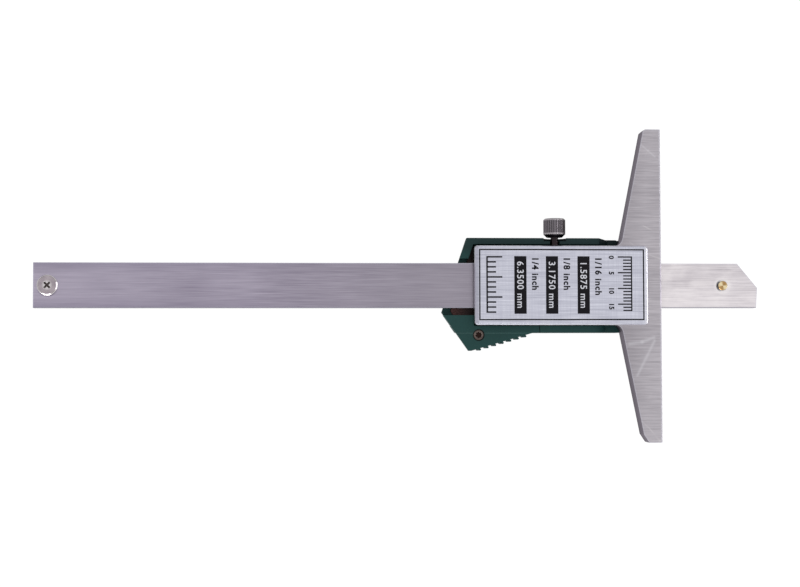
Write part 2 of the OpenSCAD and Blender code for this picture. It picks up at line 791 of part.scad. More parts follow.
module button(x) {
    at = [x, button_y];
    lip = 0.5;
    pill(at, button_l, button_w, case_front + button_sink, wall_back + 0.5);
    pill(at, button_l + 2 * lip, button_w + 2 * lip, wall_back + hand_gap, wall_back + 0.8);
    post(at, wall_back + 0.5, board_front - 0.35 - button_travel, 1.1);
}

module power_button() {
    color("orangered") button(button_x[0]);
}

module zero_button() {
    color("dimgray") button(button_x[1]);
}

module unit_button() {
    color("dimgray") button(button_x[2]);
}

module button_domes() {
    color("gold") for (x = button_x) translate([x, button_y, board_front]) mirror([0, 0, 1]) rotate_extrude()
        polygon([[0, 0], [2, 0], [1.7, 0.15], [1, 0.27], [0, 0.3]]);
}

module coin_cell() {
    r = cell_d / 2;
    bevel = 0.25;
    color("lightgray") translate([cell.x, cell.y, cell_back]) mirror([0, 0, 1]) rotate_extrude() polygon([
        [0, 0], [r - 1.3, 0], [r - 1.1, 0.35], [r, 0.6], [r, cell_t - bevel], [r - bevel, cell_t], [0, cell_t]
    ]);
}

// A sheet-metal leaf that lies on the board and springs down onto the cell
module negative_contact() {
    t = 0.25;
    drop = cell_back - board_front;
    color("gainsboro") translate([cell.x, cell.y + 1.5, board_front]) rotate([90, 0, 0]) linear_extrude(3) polygon([
        [-7, 0], [1, 0], [5.6, drop + t], [6.7, drop + t], [7.4, drop + 2.5 * t],
        [7.6, drop + 2.1 * t], [6.85, drop], [5.5, drop], [0.9, -t], [-7, -t]
    ]);
}

module positive_contact() {
    t = 0.3;
    r = cell_d / 2 + 0.02;
    color("gainsboro") translate([cell.x, cell.y, 0]) rotate(contact_turn) {
        block([r, -1.8, cell_back - cell_t + 0.6], [r + t, 1.8, board_front]);
        block([r, -1.8, board_front - t], [r + 2.6, 1.8, board_front]);
    }
}

module battery_cover() {
    color([0.12, 0.27, 0.25]) difference() {
        intersection() {
            case_body();
            union() {
                battery_hatch(-hand_gap, case_front - reach, wall_back - fit_gap);
                hatch_tongues(0);
            }
            block([case_tip.x - reach, case_lower, case_front - reach],
                  [hatch_x - hand_gap, case_upper, wall_back - fit_gap]);
        }
        for (i = [0:3]) block([hatch_x - 4.6 - 1.2 * i, cell.y - 4, case_front - reach],
                              [hatch_x - 4 - 1.2 * i, cell.y + 4, case_front + 0.35]);
    }
}

module port_cover() {
    color([0.1, 0.1, 0.1]) {
        port_plate(0);
        block([port.x - port_w / 2 + hand_gap, case_inner[1] + 0.1, port.y - port_h / 2 + hand_gap],
              [port.x + port_w / 2 - hand_gap, case_upper - 0.4, port.y + port_h / 2 - hand_gap]);
    }
}

module port_contacts() {
    color("gold") for (i = [0:3]) {
        x = port.x + (i - 1.5) * 1.4;
        block([x - 0.3, board_y - 2.4, board_front - 0.3], [x + 0.3, board_y - 0.5, board_front]);
        block([x - 0.3, board_y - 0.8, port.y - 0.8], [x + 0.3, board_y - 0.5, board_front]);
    }
}

beam();
scale_strip();
stop_screw();
stop_pin();
base_frame();
nameplate();
gib_strip();
gib_screws();
lock_screw();
lock_pad();
front_housing();
thumb_grip();
housing_screws();
grip_screw();
circuit_board();
board_chips();
lcd_panel();
lcd_tray();
zebra_strips();
lcd_window();
front_panel();
power_button();
zero_button();
unit_button();
button_domes();
coin_cell();
negative_contact();
positive_contact();
battery_cover();
port_cover();
port_contacts();
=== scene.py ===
# %% [markdown]
# # A digital depth gauge, seen from its back
#
# The gauge lies on its display side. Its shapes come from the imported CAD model, which is loaded as
# a fixed frame in metres: X runs along the beam to the measuring tip, Y across it to the lock
# screw, and Z up out of the back. This script adds what the CAD leaves out: the finish of each
# surface, the printing on the nameplate, the display's digits, the light and the camera.

# %% Load the frame
from math import cos, pi, radians, sin

import bmesh
import bpy
from mathutils import Euler, Matrix, Quaternion, Vector


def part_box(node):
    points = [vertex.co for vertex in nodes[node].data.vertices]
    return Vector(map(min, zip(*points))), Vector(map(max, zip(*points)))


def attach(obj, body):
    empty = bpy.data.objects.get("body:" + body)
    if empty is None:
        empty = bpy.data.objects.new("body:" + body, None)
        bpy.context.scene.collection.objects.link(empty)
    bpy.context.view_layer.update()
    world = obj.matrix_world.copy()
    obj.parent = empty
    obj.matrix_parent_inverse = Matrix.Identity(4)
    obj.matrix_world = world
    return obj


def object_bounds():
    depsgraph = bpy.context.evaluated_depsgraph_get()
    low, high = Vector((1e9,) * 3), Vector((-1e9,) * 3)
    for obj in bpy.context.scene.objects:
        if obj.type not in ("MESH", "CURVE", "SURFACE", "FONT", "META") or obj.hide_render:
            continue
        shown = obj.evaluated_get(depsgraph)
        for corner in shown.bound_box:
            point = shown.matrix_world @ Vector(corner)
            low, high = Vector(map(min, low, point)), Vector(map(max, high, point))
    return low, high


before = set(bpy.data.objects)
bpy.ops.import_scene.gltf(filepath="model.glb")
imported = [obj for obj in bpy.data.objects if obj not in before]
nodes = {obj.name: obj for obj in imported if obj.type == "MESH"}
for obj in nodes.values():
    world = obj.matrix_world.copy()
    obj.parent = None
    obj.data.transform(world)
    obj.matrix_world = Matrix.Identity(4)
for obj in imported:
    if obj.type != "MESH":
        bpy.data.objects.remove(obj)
cad_box = [list(corner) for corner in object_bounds()]
MM = 0.001
print("CAD nodes:", len(nodes), "box in mm:", [[round(v / MM, 2) for v in c] for c in cad_box])

# %% [markdown]
# ## The camera
#
# A product photo like this one is taken from above with a long lens, so that the base and the beam
# keep their proportions. The camera stands about half a metre over the beam, left of the nameplate,
# and is turned a few degrees, which is why one flank of the base and the side of the housing show.
# A free camera needs no target: its place, its turn and its focal length say everything.

# %% Place the camera
FRAME_WIDTH = 800
FOCAL_PIXELS = 1500
SENSOR_WIDTH = 36

camera_data = bpy.data.cameras.new("product_camera")
camera_data.sensor_fit = "HORIZONTAL"
camera_data.sensor_width = SENSOR_WIDTH
camera_data.lens = FOCAL_PIXELS / FRAME_WIDTH * SENSOR_WIDTH
camera_data.clip_start = 0.01
camera_data.clip_end = 20
camera = bpy.data.objects.new("product_camera", camera_data)
bpy.context.scene.collection.objects.link(camera)
camera_place = Vector((-117.2, -21.1, 474.2))
camera_turn = Vector((-0.0392, 0.0712, 0.0008))
camera.matrix_world = Matrix.LocRotScale(
    camera_place * MM, Quaternion(camera_turn.normalized(), -camera_turn.length), None)
bpy.context.scene.camera = camera
print("lens mm:", camera_data.lens, "height over the beam mm:", round(camera.location.z / MM, 1))

# %% [markdown]
# ## Helpers for shader trees
#
# Every finish here is built from nodes. Typing them out one by one hides the idea behind the
# wiring, so these small helpers add a node, link what it takes and return its output. A value that
# is a socket gets linked, and a plain number is typed into the input.

# %% Shader helpers: nodes and sums
def feed(tree, socket, value):
    """Link a socket, or type a plain value into it."""
    if isinstance(value, bpy.types.NodeSocket):
        tree.links.new(value, socket)
    else:
        socket.default_value = value


def add(tree, kind, inputs=None, **settings):
    """One node with its settings and its inputs, by name or by place."""
    node = tree.nodes.new(kind)
    for key, value in settings.items():
        setattr(node, key, value)
    for key, value in (inputs or {}).items():
        feed(tree, node.inputs[key], value)
    return node


def calc(tree, operation, a, b=0.0, clamp=False):
    node = add(tree, "ShaderNodeMath", {0: a, 1: b}, operation=operation, use_clamp=clamp)
    return node.outputs[0]


def times(tree, a, b, clamp=False):
    return calc(tree, "MULTIPLY", a, b, clamp)


ORIGIN = (0.0, 0.0, 0.0)


def vector_calc(tree, operation, a, b=ORIGIN):
    """Vector maths. A dot product and a length come out as a plain value."""
    node = add(tree, "ShaderNodeVectorMath", {0: a, 1: b}, operation=operation)
    return node.outputs["Value" if operation in ("DOT_PRODUCT", "LENGTH") else "Vector"]


def parts_of(tree, vector):
    """The X, Y and Z of a vector."""
    return add(tree, "ShaderNodeSeparateXYZ", {0: vector}).outputs


print("helpers:", [f.__name__ for f in (feed, add, calc, times, vector_calc, parts_of)])

# %% [markdown]
# ### Masks, noise and colours
#
# Most finishes come down to a mask, a number from 0 to 1 that changes over the surface, and two
# colours that it blends. A mask is a measured value spread over a new range, or noise. Colours are
# written as a paint chip gives them, which is how they are judged, and turned into the linear values
# that nodes work with.

# %% Shader helpers: masks and colours
def remap(tree, value, low, high, to_low=0.0, to_high=1.0):
    """Spread the values between low and high over a new range, and clamp the rest."""
    return add(tree, "ShaderNodeMapRange", {
        "Value": value, "From Min": low, "From Max": high, "To Min": to_low, "To Max": to_high,
    }).outputs["Result"]


def between(tree, share, low, high):
    """Low where a mask is 0 and high where it is 1."""
    return remap(tree, share, 0.0, 1.0, low, high)


def noise(tree, place, scale, detail):
    return add(tree, "ShaderNodeTexNoise", {
        "Vector": place, "Scale": scale, "Detail": detail}).outputs["Fac"]


def blend_colour(tree, mask, a, b):
    """Colour a where the mask is 0 and colour b where it is 1."""
    node = tree.nodes.new("ShaderNodeMix")
    node.data_type = "RGBA"
    for place, value in ((0, mask), (6, a), (7, b)):
        feed(tree, node.inputs[place], value)
    return node.outputs[2]


def srgb(r, g, b):
    """A colour as a paint chip gives it, 0 to 255, turned into the linear values that nodes use."""
    def linear(v):
        v /= 255
        return v / 12.92 if v <= 0.04045 else ((v + 0.055) / 1.055) ** 2.4
    return (linear(r), linear(g), linear(b), 1.0)


print("one blue-grey chip in linear values:", [round(v, 3) for v in srgb(150, 143, 160)])

# %% [markdown]
# ### Groups that materials share
#
# Several materials need the same worn edge or the same grain. A node group keeps such an effect in
# one place, with named sockets: it is wired once, and each material places it with its own values.

# %% Shader helpers: groups
FLOAT, VECTOR = "NodeSocketFloat", "NodeSocketVector"


def new_group(name, inputs, outputs):
    """An empty shader group with named sockets, its input node and its output node."""
    tree = bpy.data.node_groups.new(name, "ShaderNodeTree")
    for label, (kind, value) in inputs.items():
        socket = tree.interface.new_socket(label, in_out="INPUT", socket_type=kind)
        socket.default_value = value
    for label, kind in outputs.items():
        tree.interface.new_socket(label, in_out="OUTPUT", socket_type=kind)
    return tree, tree.nodes.new("NodeGroupInput").outputs, tree.nodes.new("NodeGroupOutput").inputs


def use(tree, group, **inputs):
    """Place a group in a material; an underscore in a keyword stands for a space."""
    node = add(tree, "ShaderNodeGroup", node_tree=group)
    for key, value in inputs.items():
        feed(tree, node.inputs[key.replace("_", " ")], value)
    return node.outputs


print("sockets of a group hold:", FLOAT, VECTOR)

# %% [markdown]
# ## Millimetres in a shader
#
# Object coordinates are in metres, and numbers such as 0.00012 are hard to judge. This group
# gives the place on the object in millimetres, so that a grain 0.2 mm wide is written as 0.2.

# %% Group: place in millimetres
place_group, _, place_out = new_group("place_mm", {}, {"Place": VECTOR})
in_metres = place_group.nodes.new("ShaderNodeTexCoord").outputs["Object"]
feed(place_group, place_out["Place"],
     vector_calc(place_group, "MULTIPLY", in_metres, (1 / MM, 1 / MM, 1 / MM)))


def place_mm(tree):
    return use(tree, place_group)["Place"]


print("group:", place_group.name)

# %% [markdown]
# ## Brushed grain
#
# Steel that has been drawn along an abrasive belt carries fine parallel lines: long one way, hair
# thin the other. Noise stretched along one axis gives them. Two sizes are mixed, since the eye
# picks up a few broad streaks among many fine ones. The grain tints the colour, changes the
# roughness a little and feeds a bump, so the lines also catch the light.

# %% Group: brushed grain
grain_group, grain_in, grain_out = new_group(
    "brushed_grain",
    {"Line Length": (FLOAT, 30.0), "Line Width": (FLOAT, 0.25)},
    {"Grain": FLOAT, "Streaks": FLOAT})


def grain_layer(length, width):
    """Noise with cells that are length long in X and width wide across it, both in mm."""
    per_width = calc(grain_group, "DIVIDE", 1.0, width)
    scale = add(grain_group, "ShaderNodeCombineXYZ", {
        0: calc(grain_group, "DIVIDE", 1.0, length), 1: per_width, 2: per_width}).outputs[0]
    stretched = vector_calc(grain_group, "MULTIPLY", place_mm(grain_group), scale)
    return noise(grain_group, stretched, 1.0, 3.0)


FINE_SHARE = 0.8
fine = grain_layer(grain_in["Line Length"], grain_in["Line Width"])
broad = grain_layer(times(grain_group, grain_in["Line Length"], 2.2),
                    times(grain_group, grain_in["Line Width"], 3.5))
both = calc(grain_group, "ADD",
            times(grain_group, fine, FINE_SHARE), times(grain_group, broad, 1 - FINE_SHARE))
feed(grain_group, grain_out["Grain"], remap(grain_group, both, 0.34, 0.66))
feed(grain_group, grain_out["Streaks"], remap(grain_group, broad, 0.35, 0.68))
print("group:", grain_group.name)

# %% [markdown]
# ## Soft edges
#
# No real edge is perfectly sharp: grinding and handling round it by a tenth of a millimetre, and
# that small round shows as a light line. The Bevel node gives the normal that such a round would
# have, without changing the mesh. Where it differs from the flat face's normal there is an edge,
# which gives a mask for worn, brighter metal.

# %% Group: soft edge
edge_group, edge_in, edge_out = new_group(
    "soft_edge", {"Radius": (FLOAT, 0.12)}, {"Normal": VECTOR, "Edge": FLOAT})
radius = times(edge_group, edge_in["Radius"], MM)
rounded = add(edge_group, "ShaderNodeBevel", {"Radius": radius}, samples=4).outputs[0]
flat_normal = edge_group.nodes.new("ShaderNodeNewGeometry").outputs["Normal"]
agree = vector_calc(edge_group, "DOT_PRODUCT", rounded, flat_normal)
feed(edge_group, edge_out["Normal"], rounded)
feed(edge_group, edge_out["Edge"], remap(edge_group, agree, 0.995, 0.85))
print("group:", edge_group.name)

# %% [markdown]
# ## Cloudy marks, scuffs and moulded grain
#
# Three more effects are shared. Clouds are slow changes of tone over a few millimetres, from
# plating and fingers. Scuffs are single light scratches that run across the grain. Moulded grain
# is the fine spark-eroded texture that a plastic housing takes from its mould.

# %% Groups: clouds, scuffs, moulded grain
cloud_group, cloud_in, cloud_out = new_group("clouds", {"Size": (FLOAT, 8.0)}, {"Clouds": FLOAT})
cloud_place = vector_calc(cloud_group, "MULTIPLY", place_mm(cloud_group), (0.5, 1.0, 1.0))
cloud_scale = calc(cloud_group, "DIVIDE", 1.0, cloud_in["Size"])
feed(cloud_group, cloud_out["Clouds"],
     remap(cloud_group, noise(cloud_group, cloud_place, cloud_scale, 4.0), 0.32, 0.68))


def turned_flat(tree, vector, angle):
    """A vector turned about the upright axis."""
    return add(tree, "ShaderNodeVectorRotate", {
        "Vector": vector, "Angle": angle}, rotation_type="Z_AXIS").outputs[0]


scuff_group, scuff_in, scuff_out = new_group(
    "scuffs", {"Turn": (FLOAT, 0.7), "Spacing": (FLOAT, 14.0), "Sharpness": (FLOAT, 0.035)},
    {"Scuffs": FLOAT})
turned = turned_flat(scuff_group, place_mm(scuff_group), scuff_in["Turn"])
straight = calc(scuff_group, "DIVIDE", parts_of(scuff_group, turned)[0], scuff_in["Spacing"])
wander = times(scuff_group, noise(scuff_group, turned, 0.03, 1.0), 6.0)
bent = calc(scuff_group, "FRACT", calc(scuff_group, "ADD", straight, wander))
from_line = calc(scuff_group, "ABSOLUTE", calc(scuff_group, "SUBTRACT", bent, 0.5))
thin = remap(scuff_group, from_line, 0.0, scuff_in["Sharpness"], 1.0, 0.0)
patchy = remap(scuff_group, noise(scuff_group, place_mm(scuff_group), 0.08, 2.0), 0.5, 0.62)
feed(scuff_group, scuff_out["Scuffs"], times(scuff_group, thin, patchy))

mould_group, mould_in, mould_out = new_group(
    "moulded_grain", {"Size": (FLOAT, 0.12)}, {"Height": FLOAT, "Specks": FLOAT})
mould_scale = calc(mould_group, "DIVIDE", 1.0, mould_in["Size"])
mould_noise = noise(mould_group, place_mm(mould_group), mould_scale, 2.0)
feed(mould_group, mould_out["Height"], mould_noise)
feed(mould_group, mould_out["Specks"], remap(mould_group, mould_noise, 0.35, 0.65))
print("groups:", [g.name for g in (cloud_group, scuff_group, mould_group)])

# %% [markdown]
# ## Which way a face looks, and turned rings
#
# The back faces of the gauge are ground and brushed, while its flanks are only milled, and get
# painted shade that makes them darker.
# The object's own normal tells them apart. Turned parts, such as the brass pin, carry fine rings
# round their axis: a wave over the distance from that axis.

# %% Groups: facing, turned rings
facing_group, facing_in, facing_out = new_group(
    "facing", {"Axis": (VECTOR, (0.0, 0.0, 1.0))}, {"Facing": FLOAT})
own_normal = facing_group.nodes.new("ShaderNodeTexCoord").outputs["Normal"]
towards = vector_calc(facing_group, "DOT_PRODUCT", own_normal, facing_in["Axis"])
feed(facing_group, facing_out["Facing"], remap(facing_group, towards, 0.25, 0.75))


def from_axis(tree, at, across=(1, 1, 0)):
    """Distance in mm from the axis through a point; across is 0 along that axis."""
    away = vector_calc(tree, "SUBTRACT", place_mm(tree), at)
    return vector_calc(tree, "LENGTH", vector_calc(tree, "MULTIPLY", away, across))


rings_group, rings_in, rings_out = new_group(
    "turned_rings", {"Axis At": (VECTOR, ORIGIN), "Pitch": (FLOAT, 0.3)}, {"Height": FLOAT})
full_turns = times(rings_group, from_axis(rings_group, rings_in["Axis At"]), 2 * pi)
wave = calc(rings_group, "SINE", calc(rings_group, "DIVIDE", full_turns, rings_in["Pitch"]))
feed(rings_group, rings_out["Height"], remap(rings_group, wave, -1.0, 1.0))
print("groups:", facing_group.name, rings_group.name)

# %% [markdown]
# ## Near an axis, and below a head's top
#
# Two masks are needed round pins and screws. One fades out with the distance from an axis, for the
# pale ring round the brass pin on the beam. The other is 1 inside a screw's driver recess: near the
# axis and lower than the head's top. Recesses are made dark in the finish, with dirt and painted
# shade, as well as deep in the shape.

# %% Groups: near an axis, driver recess
near_group, near_in, near_out = new_group(
    "near_axis", {"Axis At": (VECTOR, ORIGIN), "From": (FLOAT, 1.0), "To": (FLOAT, 2.0)},
    {"Near": FLOAT})
radius = from_axis(near_group, near_in["Axis At"])
feed(near_group, near_out["Near"],
     remap(near_group, radius, near_in["From"], near_in["To"], 1.0, 0.0))

recess_group, recess_in, recess_out = new_group(
    "driver_recess", {"Head Top": (VECTOR, ORIGIN), "Reach": (FLOAT, 1.5)}, {"Recess": FLOAT})
below = vector_calc(recess_group, "SUBTRACT", recess_in["Head Top"], place_mm(recess_group))
deep = remap(recess_group, parts_of(recess_group, below)[2], 0.03, 0.12)
inside = use(recess_group, near_group, Axis_At=recess_in["Head Top"], To=recess_in["Reach"],
             From=times(recess_group, recess_in["Reach"], 0.9))["Near"]
feed(recess_group, recess_out["Recess"], times(recess_group, inside, deep))
print("groups:", near_group.name, recess_group.name)

# %% [markdown]
# ## Rubbed marks, and fans of light
#
# A rub is one mark, soft at its sides, between two points of a flat face: the distance from the line
# between them says how strong it is. Fans are a painted highlight: the light and dark sectors that a
# lathe-turned end shows, which depend only on the angle round the axis. As formulas, both stay sharp
# from close by and need no unwrapped image.

# %% Groups: rubbed mark, fans
rub_group, rub_in, rub_out = new_group(
    "rubbed_mark",
    {"From": (VECTOR, ORIGIN), "To": (VECTOR, (1.0, 0.0, 0.0)), "Width": (FLOAT, 0.5)},
    {"Mark": FLOAT})
flat_place = vector_calc(rub_group, "MULTIPLY", place_mm(rub_group), (1, 1, 0))
from_start = vector_calc(rub_group, "SUBTRACT", flat_place, rub_in["From"])
whole = vector_calc(rub_group, "SUBTRACT", rub_in["To"], rub_in["From"])
share = calc(rub_group, "DIVIDE", vector_calc(rub_group, "DOT_PRODUCT", from_start, whole),
             vector_calc(rub_group, "DOT_PRODUCT", whole, whole), clamp=True)
share_vector = add(rub_group, "ShaderNodeCombineXYZ", {0: share, 1: share, 2: share}).outputs[0]
nearest = vector_calc(rub_group, "MULTIPLY", whole, share_vector)
away = vector_calc(rub_group, "LENGTH", vector_calc(rub_group, "SUBTRACT", from_start, nearest))
feed(rub_group, rub_out["Mark"], remap(rub_group, away, 0.0, rub_in["Width"], 1.0, 0.0))

highlight_fan_group, fan_in, fan_out = new_group(
    "highlight_fans", {"Axis At": (VECTOR, ORIGIN), "Turn": (FLOAT, 0.0)}, {"Highlight Fans": FLOAT})
around = vector_calc(highlight_fan_group, "SUBTRACT", place_mm(highlight_fan_group), fan_in["Axis At"])
parts = parts_of(highlight_fan_group, turned_flat(highlight_fan_group, around, fan_in["Turn"]))
angle = calc(highlight_fan_group, "ARCTAN2", parts[1], parts[0])
two_fans = calc(highlight_fan_group, "COSINE", times(highlight_fan_group, angle, 2.0))
feed(highlight_fan_group, fan_out["Highlight Fans"], remap(highlight_fan_group, two_fans, -0.6, 0.9))
print("groups:", rub_group.name, highlight_fan_group.name)

# %% [markdown]
# ## Starting a material
#
# Each material starts from one Principled BSDF. Numbers that are the same over the whole surface,
# such as metallic, are typed straight into it, and only what varies is linked.

# %% Material helpers
def start_material(name, **values):
    material = bpy.data.materials.new(name)
    material.use_nodes = True
    shader = material.node_tree.nodes["Principled BSDF"]
    for key, value in values.items():
        shader.inputs[key.replace("_", " ")].default_value = value
    return material, material.node_tree, shader.inputs


def bump(tree, height, depth_mm, normal=None, strength=1.0):
    """A bump whose full height is depth_mm deep."""
    inputs = {"Height": height, "Distance": depth_mm * MM, "Strength": strength}
    if normal is not None:
        inputs["Normal"] = normal
    return add(tree, "ShaderNodeBump", inputs).outputs[0]


def finish_nodes(material, *names):
    """Give CAD nodes their material in place of the plain one they came with."""
    for name in names:
        slots = nodes[name].data.materials
        slots.clear()
        slots.append(material)
    print(material.name, "->", ", ".join(names))


# %% [markdown]
# ## Brushed steel
#
# The beam and the base are stainless steel, brushed along X. One function makes both finishes, from
# a dark and a light tone of the grain, two tones of painted shade for the milled flanks, and how
# rough the metal is. Marks that only one piece has come in through a function of that piece, so that
# this one stays simple. A band beside each edge gets a painted highlight, and the worn edge itself
# is made lighter.

# %% Material: brushed steel
GRAIN_SHARE, STREAK_SHARE, CLOUD_SHARE = 0.6, 0.1, 0.3
FLANK_SHADE_Z = (-2.6, 2.2)
EDGE_HIGHLIGHT_RADIUS, EDGE_WEAR = 0.7, 0.16
UP, DOWN = (0.0, 0.0, 1.0), (0.0, 0.0, -1.0)


def brushed_steel(name, dark, light, painted_shade_flank, roughness, length, width, marks=None):
    """Brushed metal; marks takes the tree, the colour, the grain's tone and the place's parts."""
    material, tree, shader = start_material(
        name, Metallic=1.0, Specular_Tint=(0.9, 0.85, 0.92, 1.0))
    grain = use(tree, grain_group, Line_Length=length, Line_Width=width)
    clouds = use(tree, cloud_group, Size=14.0)["Clouds"]
    lines = calc(tree, "ADD", times(tree, grain["Grain"], GRAIN_SHARE),
                 times(tree, grain["Streaks"], STREAK_SHARE))
    tone = calc(tree, "ADD", lines, times(tree, clouds, CLOUD_SHARE))
    place = parts_of(tree, place_mm(tree))
    colour = blend_colour(tree, tone, dark, light)
    if marks is not None:
        colour = marks(tree, colour, tone, place)
    ground = calc(tree, "ADD", use(tree, facing_group, Axis=UP)["Facing"],
                  use(tree, facing_group, Axis=DOWN)["Facing"], clamp=True)
    # Painted shade: the flanks are darker than the ground faces, darkest low down.
    flank_shade = blend_colour(tree, remap(tree, place[2], *FLANK_SHADE_Z), painted_shade_flank[0], painted_shade_flank[1])
    flank_shade = blend_colour(tree, times(tree, tone, 0.3), flank_shade, dark)
    colour = blend_colour(tree, ground, flank_shade, colour)
    # Painted highlight: a lighter band beside each edge of a ground face.
    edge_highlight_band = times(tree, use(tree, edge_group, Radius=EDGE_HIGHLIGHT_RADIUS)["Edge"], times(tree, ground, 0.5))
    colour = blend_colour(tree, edge_highlight_band, colour, srgb(208, 210, 226))
    worn = times(tree, use(tree, edge_group, Radius=EDGE_WEAR)["Edge"], 0.35)
    feed(tree, shader["Base Color"], blend_colour(tree, worn, colour, srgb(236, 232, 236)))
    feed(tree, shader["Roughness"],
         between(tree, grain["Grain"], roughness - 0.05, roughness + 0.07))
    feed(tree, shader["Normal"], bump(tree, grain["Grain"], 0.003, None, 0.5))
    return material


print("tones come from grain, streaks and clouds:", GRAIN_SHARE, STREAK_SHARE, CLOUD_SHARE)

# %% [markdown]
# ### The beam
#
# The beam has a mauve cast at its tail, is greyer towards the nameplate and gets a painted
# reflection that makes it much lighter at its measuring tip. It is dimmer along its long edges, has
# painted shade on its lower edge, a pale ring round the brass pin, and painted shadows in the
# corners beside the pin and the stop screw. Each is one mask over the place in mm that blends in one
# tone.

# %% Material: the beam's steel
TAIL_LIGHT_X, TAIL_DIM_X = (-195.0, -120.0), (-190.0, -110.0)
GREYER_X, TIP_REFLECTION_X = (-130.0, -70.0), (-26.0, -6.0)
BEAM_FLANK_SHADE = (srgb(84, 80, 90), srgb(104, 99, 110))
TIP_REFLECTION_TONES = (srgb(186, 179, 185), srgb(252, 246, 249))


def node_centre(name):
    low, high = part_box(name)
    return tuple((low + high) / 2 / MM)


def corner_grime(tree, colour, at, reach, side, tone, amount):
    """Painted shadow where a round part stands on the steel, within reach mm of its axis, on one
    side.
    """
    ring = use(tree, near_group, Axis_At=at, From=reach, To=reach + 0.4)["Near"]
    around = vector_calc(tree, "SUBTRACT", place_mm(tree), at)
    sideways = vector_calc(tree, "DOT_PRODUCT", around, side)
    mask = times(tree, ring, remap(tree, sideways, reach * 0.3, reach * 0.9, 0.0, amount))
    return blend_colour(tree, mask, colour, tone)


def beam_marks(tree, colour, tone, place):
    tail_light = remap(tree, place[0], *TAIL_LIGHT_X, 0.4, 0.0)
    colour = blend_colour(tree, tail_light, colour, srgb(190, 182, 200))
    long_edges = remap(tree, calc(tree, "ABSOLUTE", place[1]), 3.6, 6.9, 0.0, 0.45)
    dim = times(tree, long_edges, remap(tree, place[0], *TAIL_DIM_X, 1.0, 0.3))
    colour = blend_colour(tree, dim, colour, srgb(120, 112, 136))
    greyer = remap(tree, place[0], *GREYER_X, 0.0, 0.45)
    colour = blend_colour(tree, greyer, colour, srgb(146, 142, 147))

    # Painted reflection: the tip end is much lighter, with light patches.
    painted_tip_reflection = blend_colour(tree, tone, *TIP_REFLECTION_TONES)
    patches = remap(tree, use(tree, cloud_group, Size=3.2)["Clouds"], 0.3, 1.0, 0.0, 0.4)
    painted_tip_reflection = blend_colour(tree, patches, painted_tip_reflection, srgb(255, 249, 250))
    colour = blend_colour(tree, remap(tree, place[0], *TIP_REFLECTION_X), colour, painted_tip_reflection)

    lower_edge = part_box("beam")[0].y / MM
    # Painted shade along the beam's lower edge.
    painted_shade_lower_edge = remap(tree, place[1], lower_edge + 0.1, lower_edge + 0.4, 0.7, 0.0)
    colour = blend_colour(tree, painted_shade_lower_edge, colour, BEAM_FLANK_SHADE[1])

    pin, screw = node_centre("stop_pin"), node_centre("stop_screw")
    patchy = between(tree, use(tree, cloud_group, Size=2.5)["Clouds"], 0.2, 0.7)
    ring = use(tree, near_group, Axis_At=pin, From=2.2, To=3.0)["Near"]
    colour = blend_colour(tree, times(tree, ring, patchy), colour, srgb(252, 248, 248))
    # Painted shadows: dark crescents beside the pin and below the stop screw.
    colour = corner_grime(tree, colour, pin, 1.7, (-1.0, 0.0, 0.0), srgb(30, 20, 20), 1.0)
    return corner_grime(tree, colour, screw, 3.3, (0.0, -1.0, 0.0), srgb(88, 80, 98), 0.6)


print("the beam lightens towards its tip between x mm:", TIP_REFLECTION_X)
finish_nodes(brushed_steel(
    "beam_steel", srgb(128, 120, 138), srgb(188, 180, 196), BEAM_FLANK_SHADE, 0.38,
    length=12.0, width=0.16, marks=beam_marks), "beam")

# %% [markdown]
# ### The base
#
# The base is a cleaner grey, with shorter grain. It gets a little painted shade towards its back
# edge, and has a few broad rubs where it was set down, given by their end points in mm, and fine
# scuffs that cross.

# %% Material: the base's steel
BACK_SHADE_X = (-15.0, -5.0)
BASE_RUBS = (
    ((-10.4, -18.6), (-6.4, -18.0), 0.9, 0.35), ((-6.4, -18.0), (-2.6, -16.6), 0.8, 0.4),
    ((-2.4, -17.6), (-8.0, -28.6), 0.7, 0.35), ((-6.2, 45.0), (-1.8, 41.2), 0.4, 0.3))


def base_marks(tree, colour, tone, place):
    # Painted shade towards the back edge.
    painted_shade_back_edge = remap(tree, place[0], *BACK_SHADE_X, 0.42, 0.0)
    colour = blend_colour(tree, painted_shade_back_edge, colour, srgb(122, 117, 124))
    for start, end, width_mm, amount in BASE_RUBS:
        mark = use(tree, rub_group, From=(*start, 0.0), To=(*end, 0.0), Width=width_mm)["Mark"]
        colour = blend_colour(tree, times(tree, mark, amount), colour, srgb(222, 220, 226))
    scuffs = calc(tree, "ADD", use(tree, scuff_group)["Scuffs"],
                  use(tree, scuff_group, Turn=-0.5, Spacing=19.0)["Scuffs"])
    return blend_colour(tree, times(tree, scuffs, 0.5, clamp=True), colour, srgb(226, 222, 224))


finish_nodes(brushed_steel(
    "base_steel", srgb(154, 149, 156), srgb(206, 201, 207),
    (srgb(50, 46, 52), srgb(94, 88, 97)), 0.36,
    length=7.0, width=0.18, marks=base_marks), "base_frame")

# %% [markdown]
# ## The nameplate's aluminium
#
# The nameplate is thin aluminium, brushed finer than the steel and anodised to a cool silver. Its
# rolled edge is left smooth and gets a painted highlight, and its rim gets painted shade at the tail
# and a painted highlight at the tip. The printing is made later, as pieces of its own.

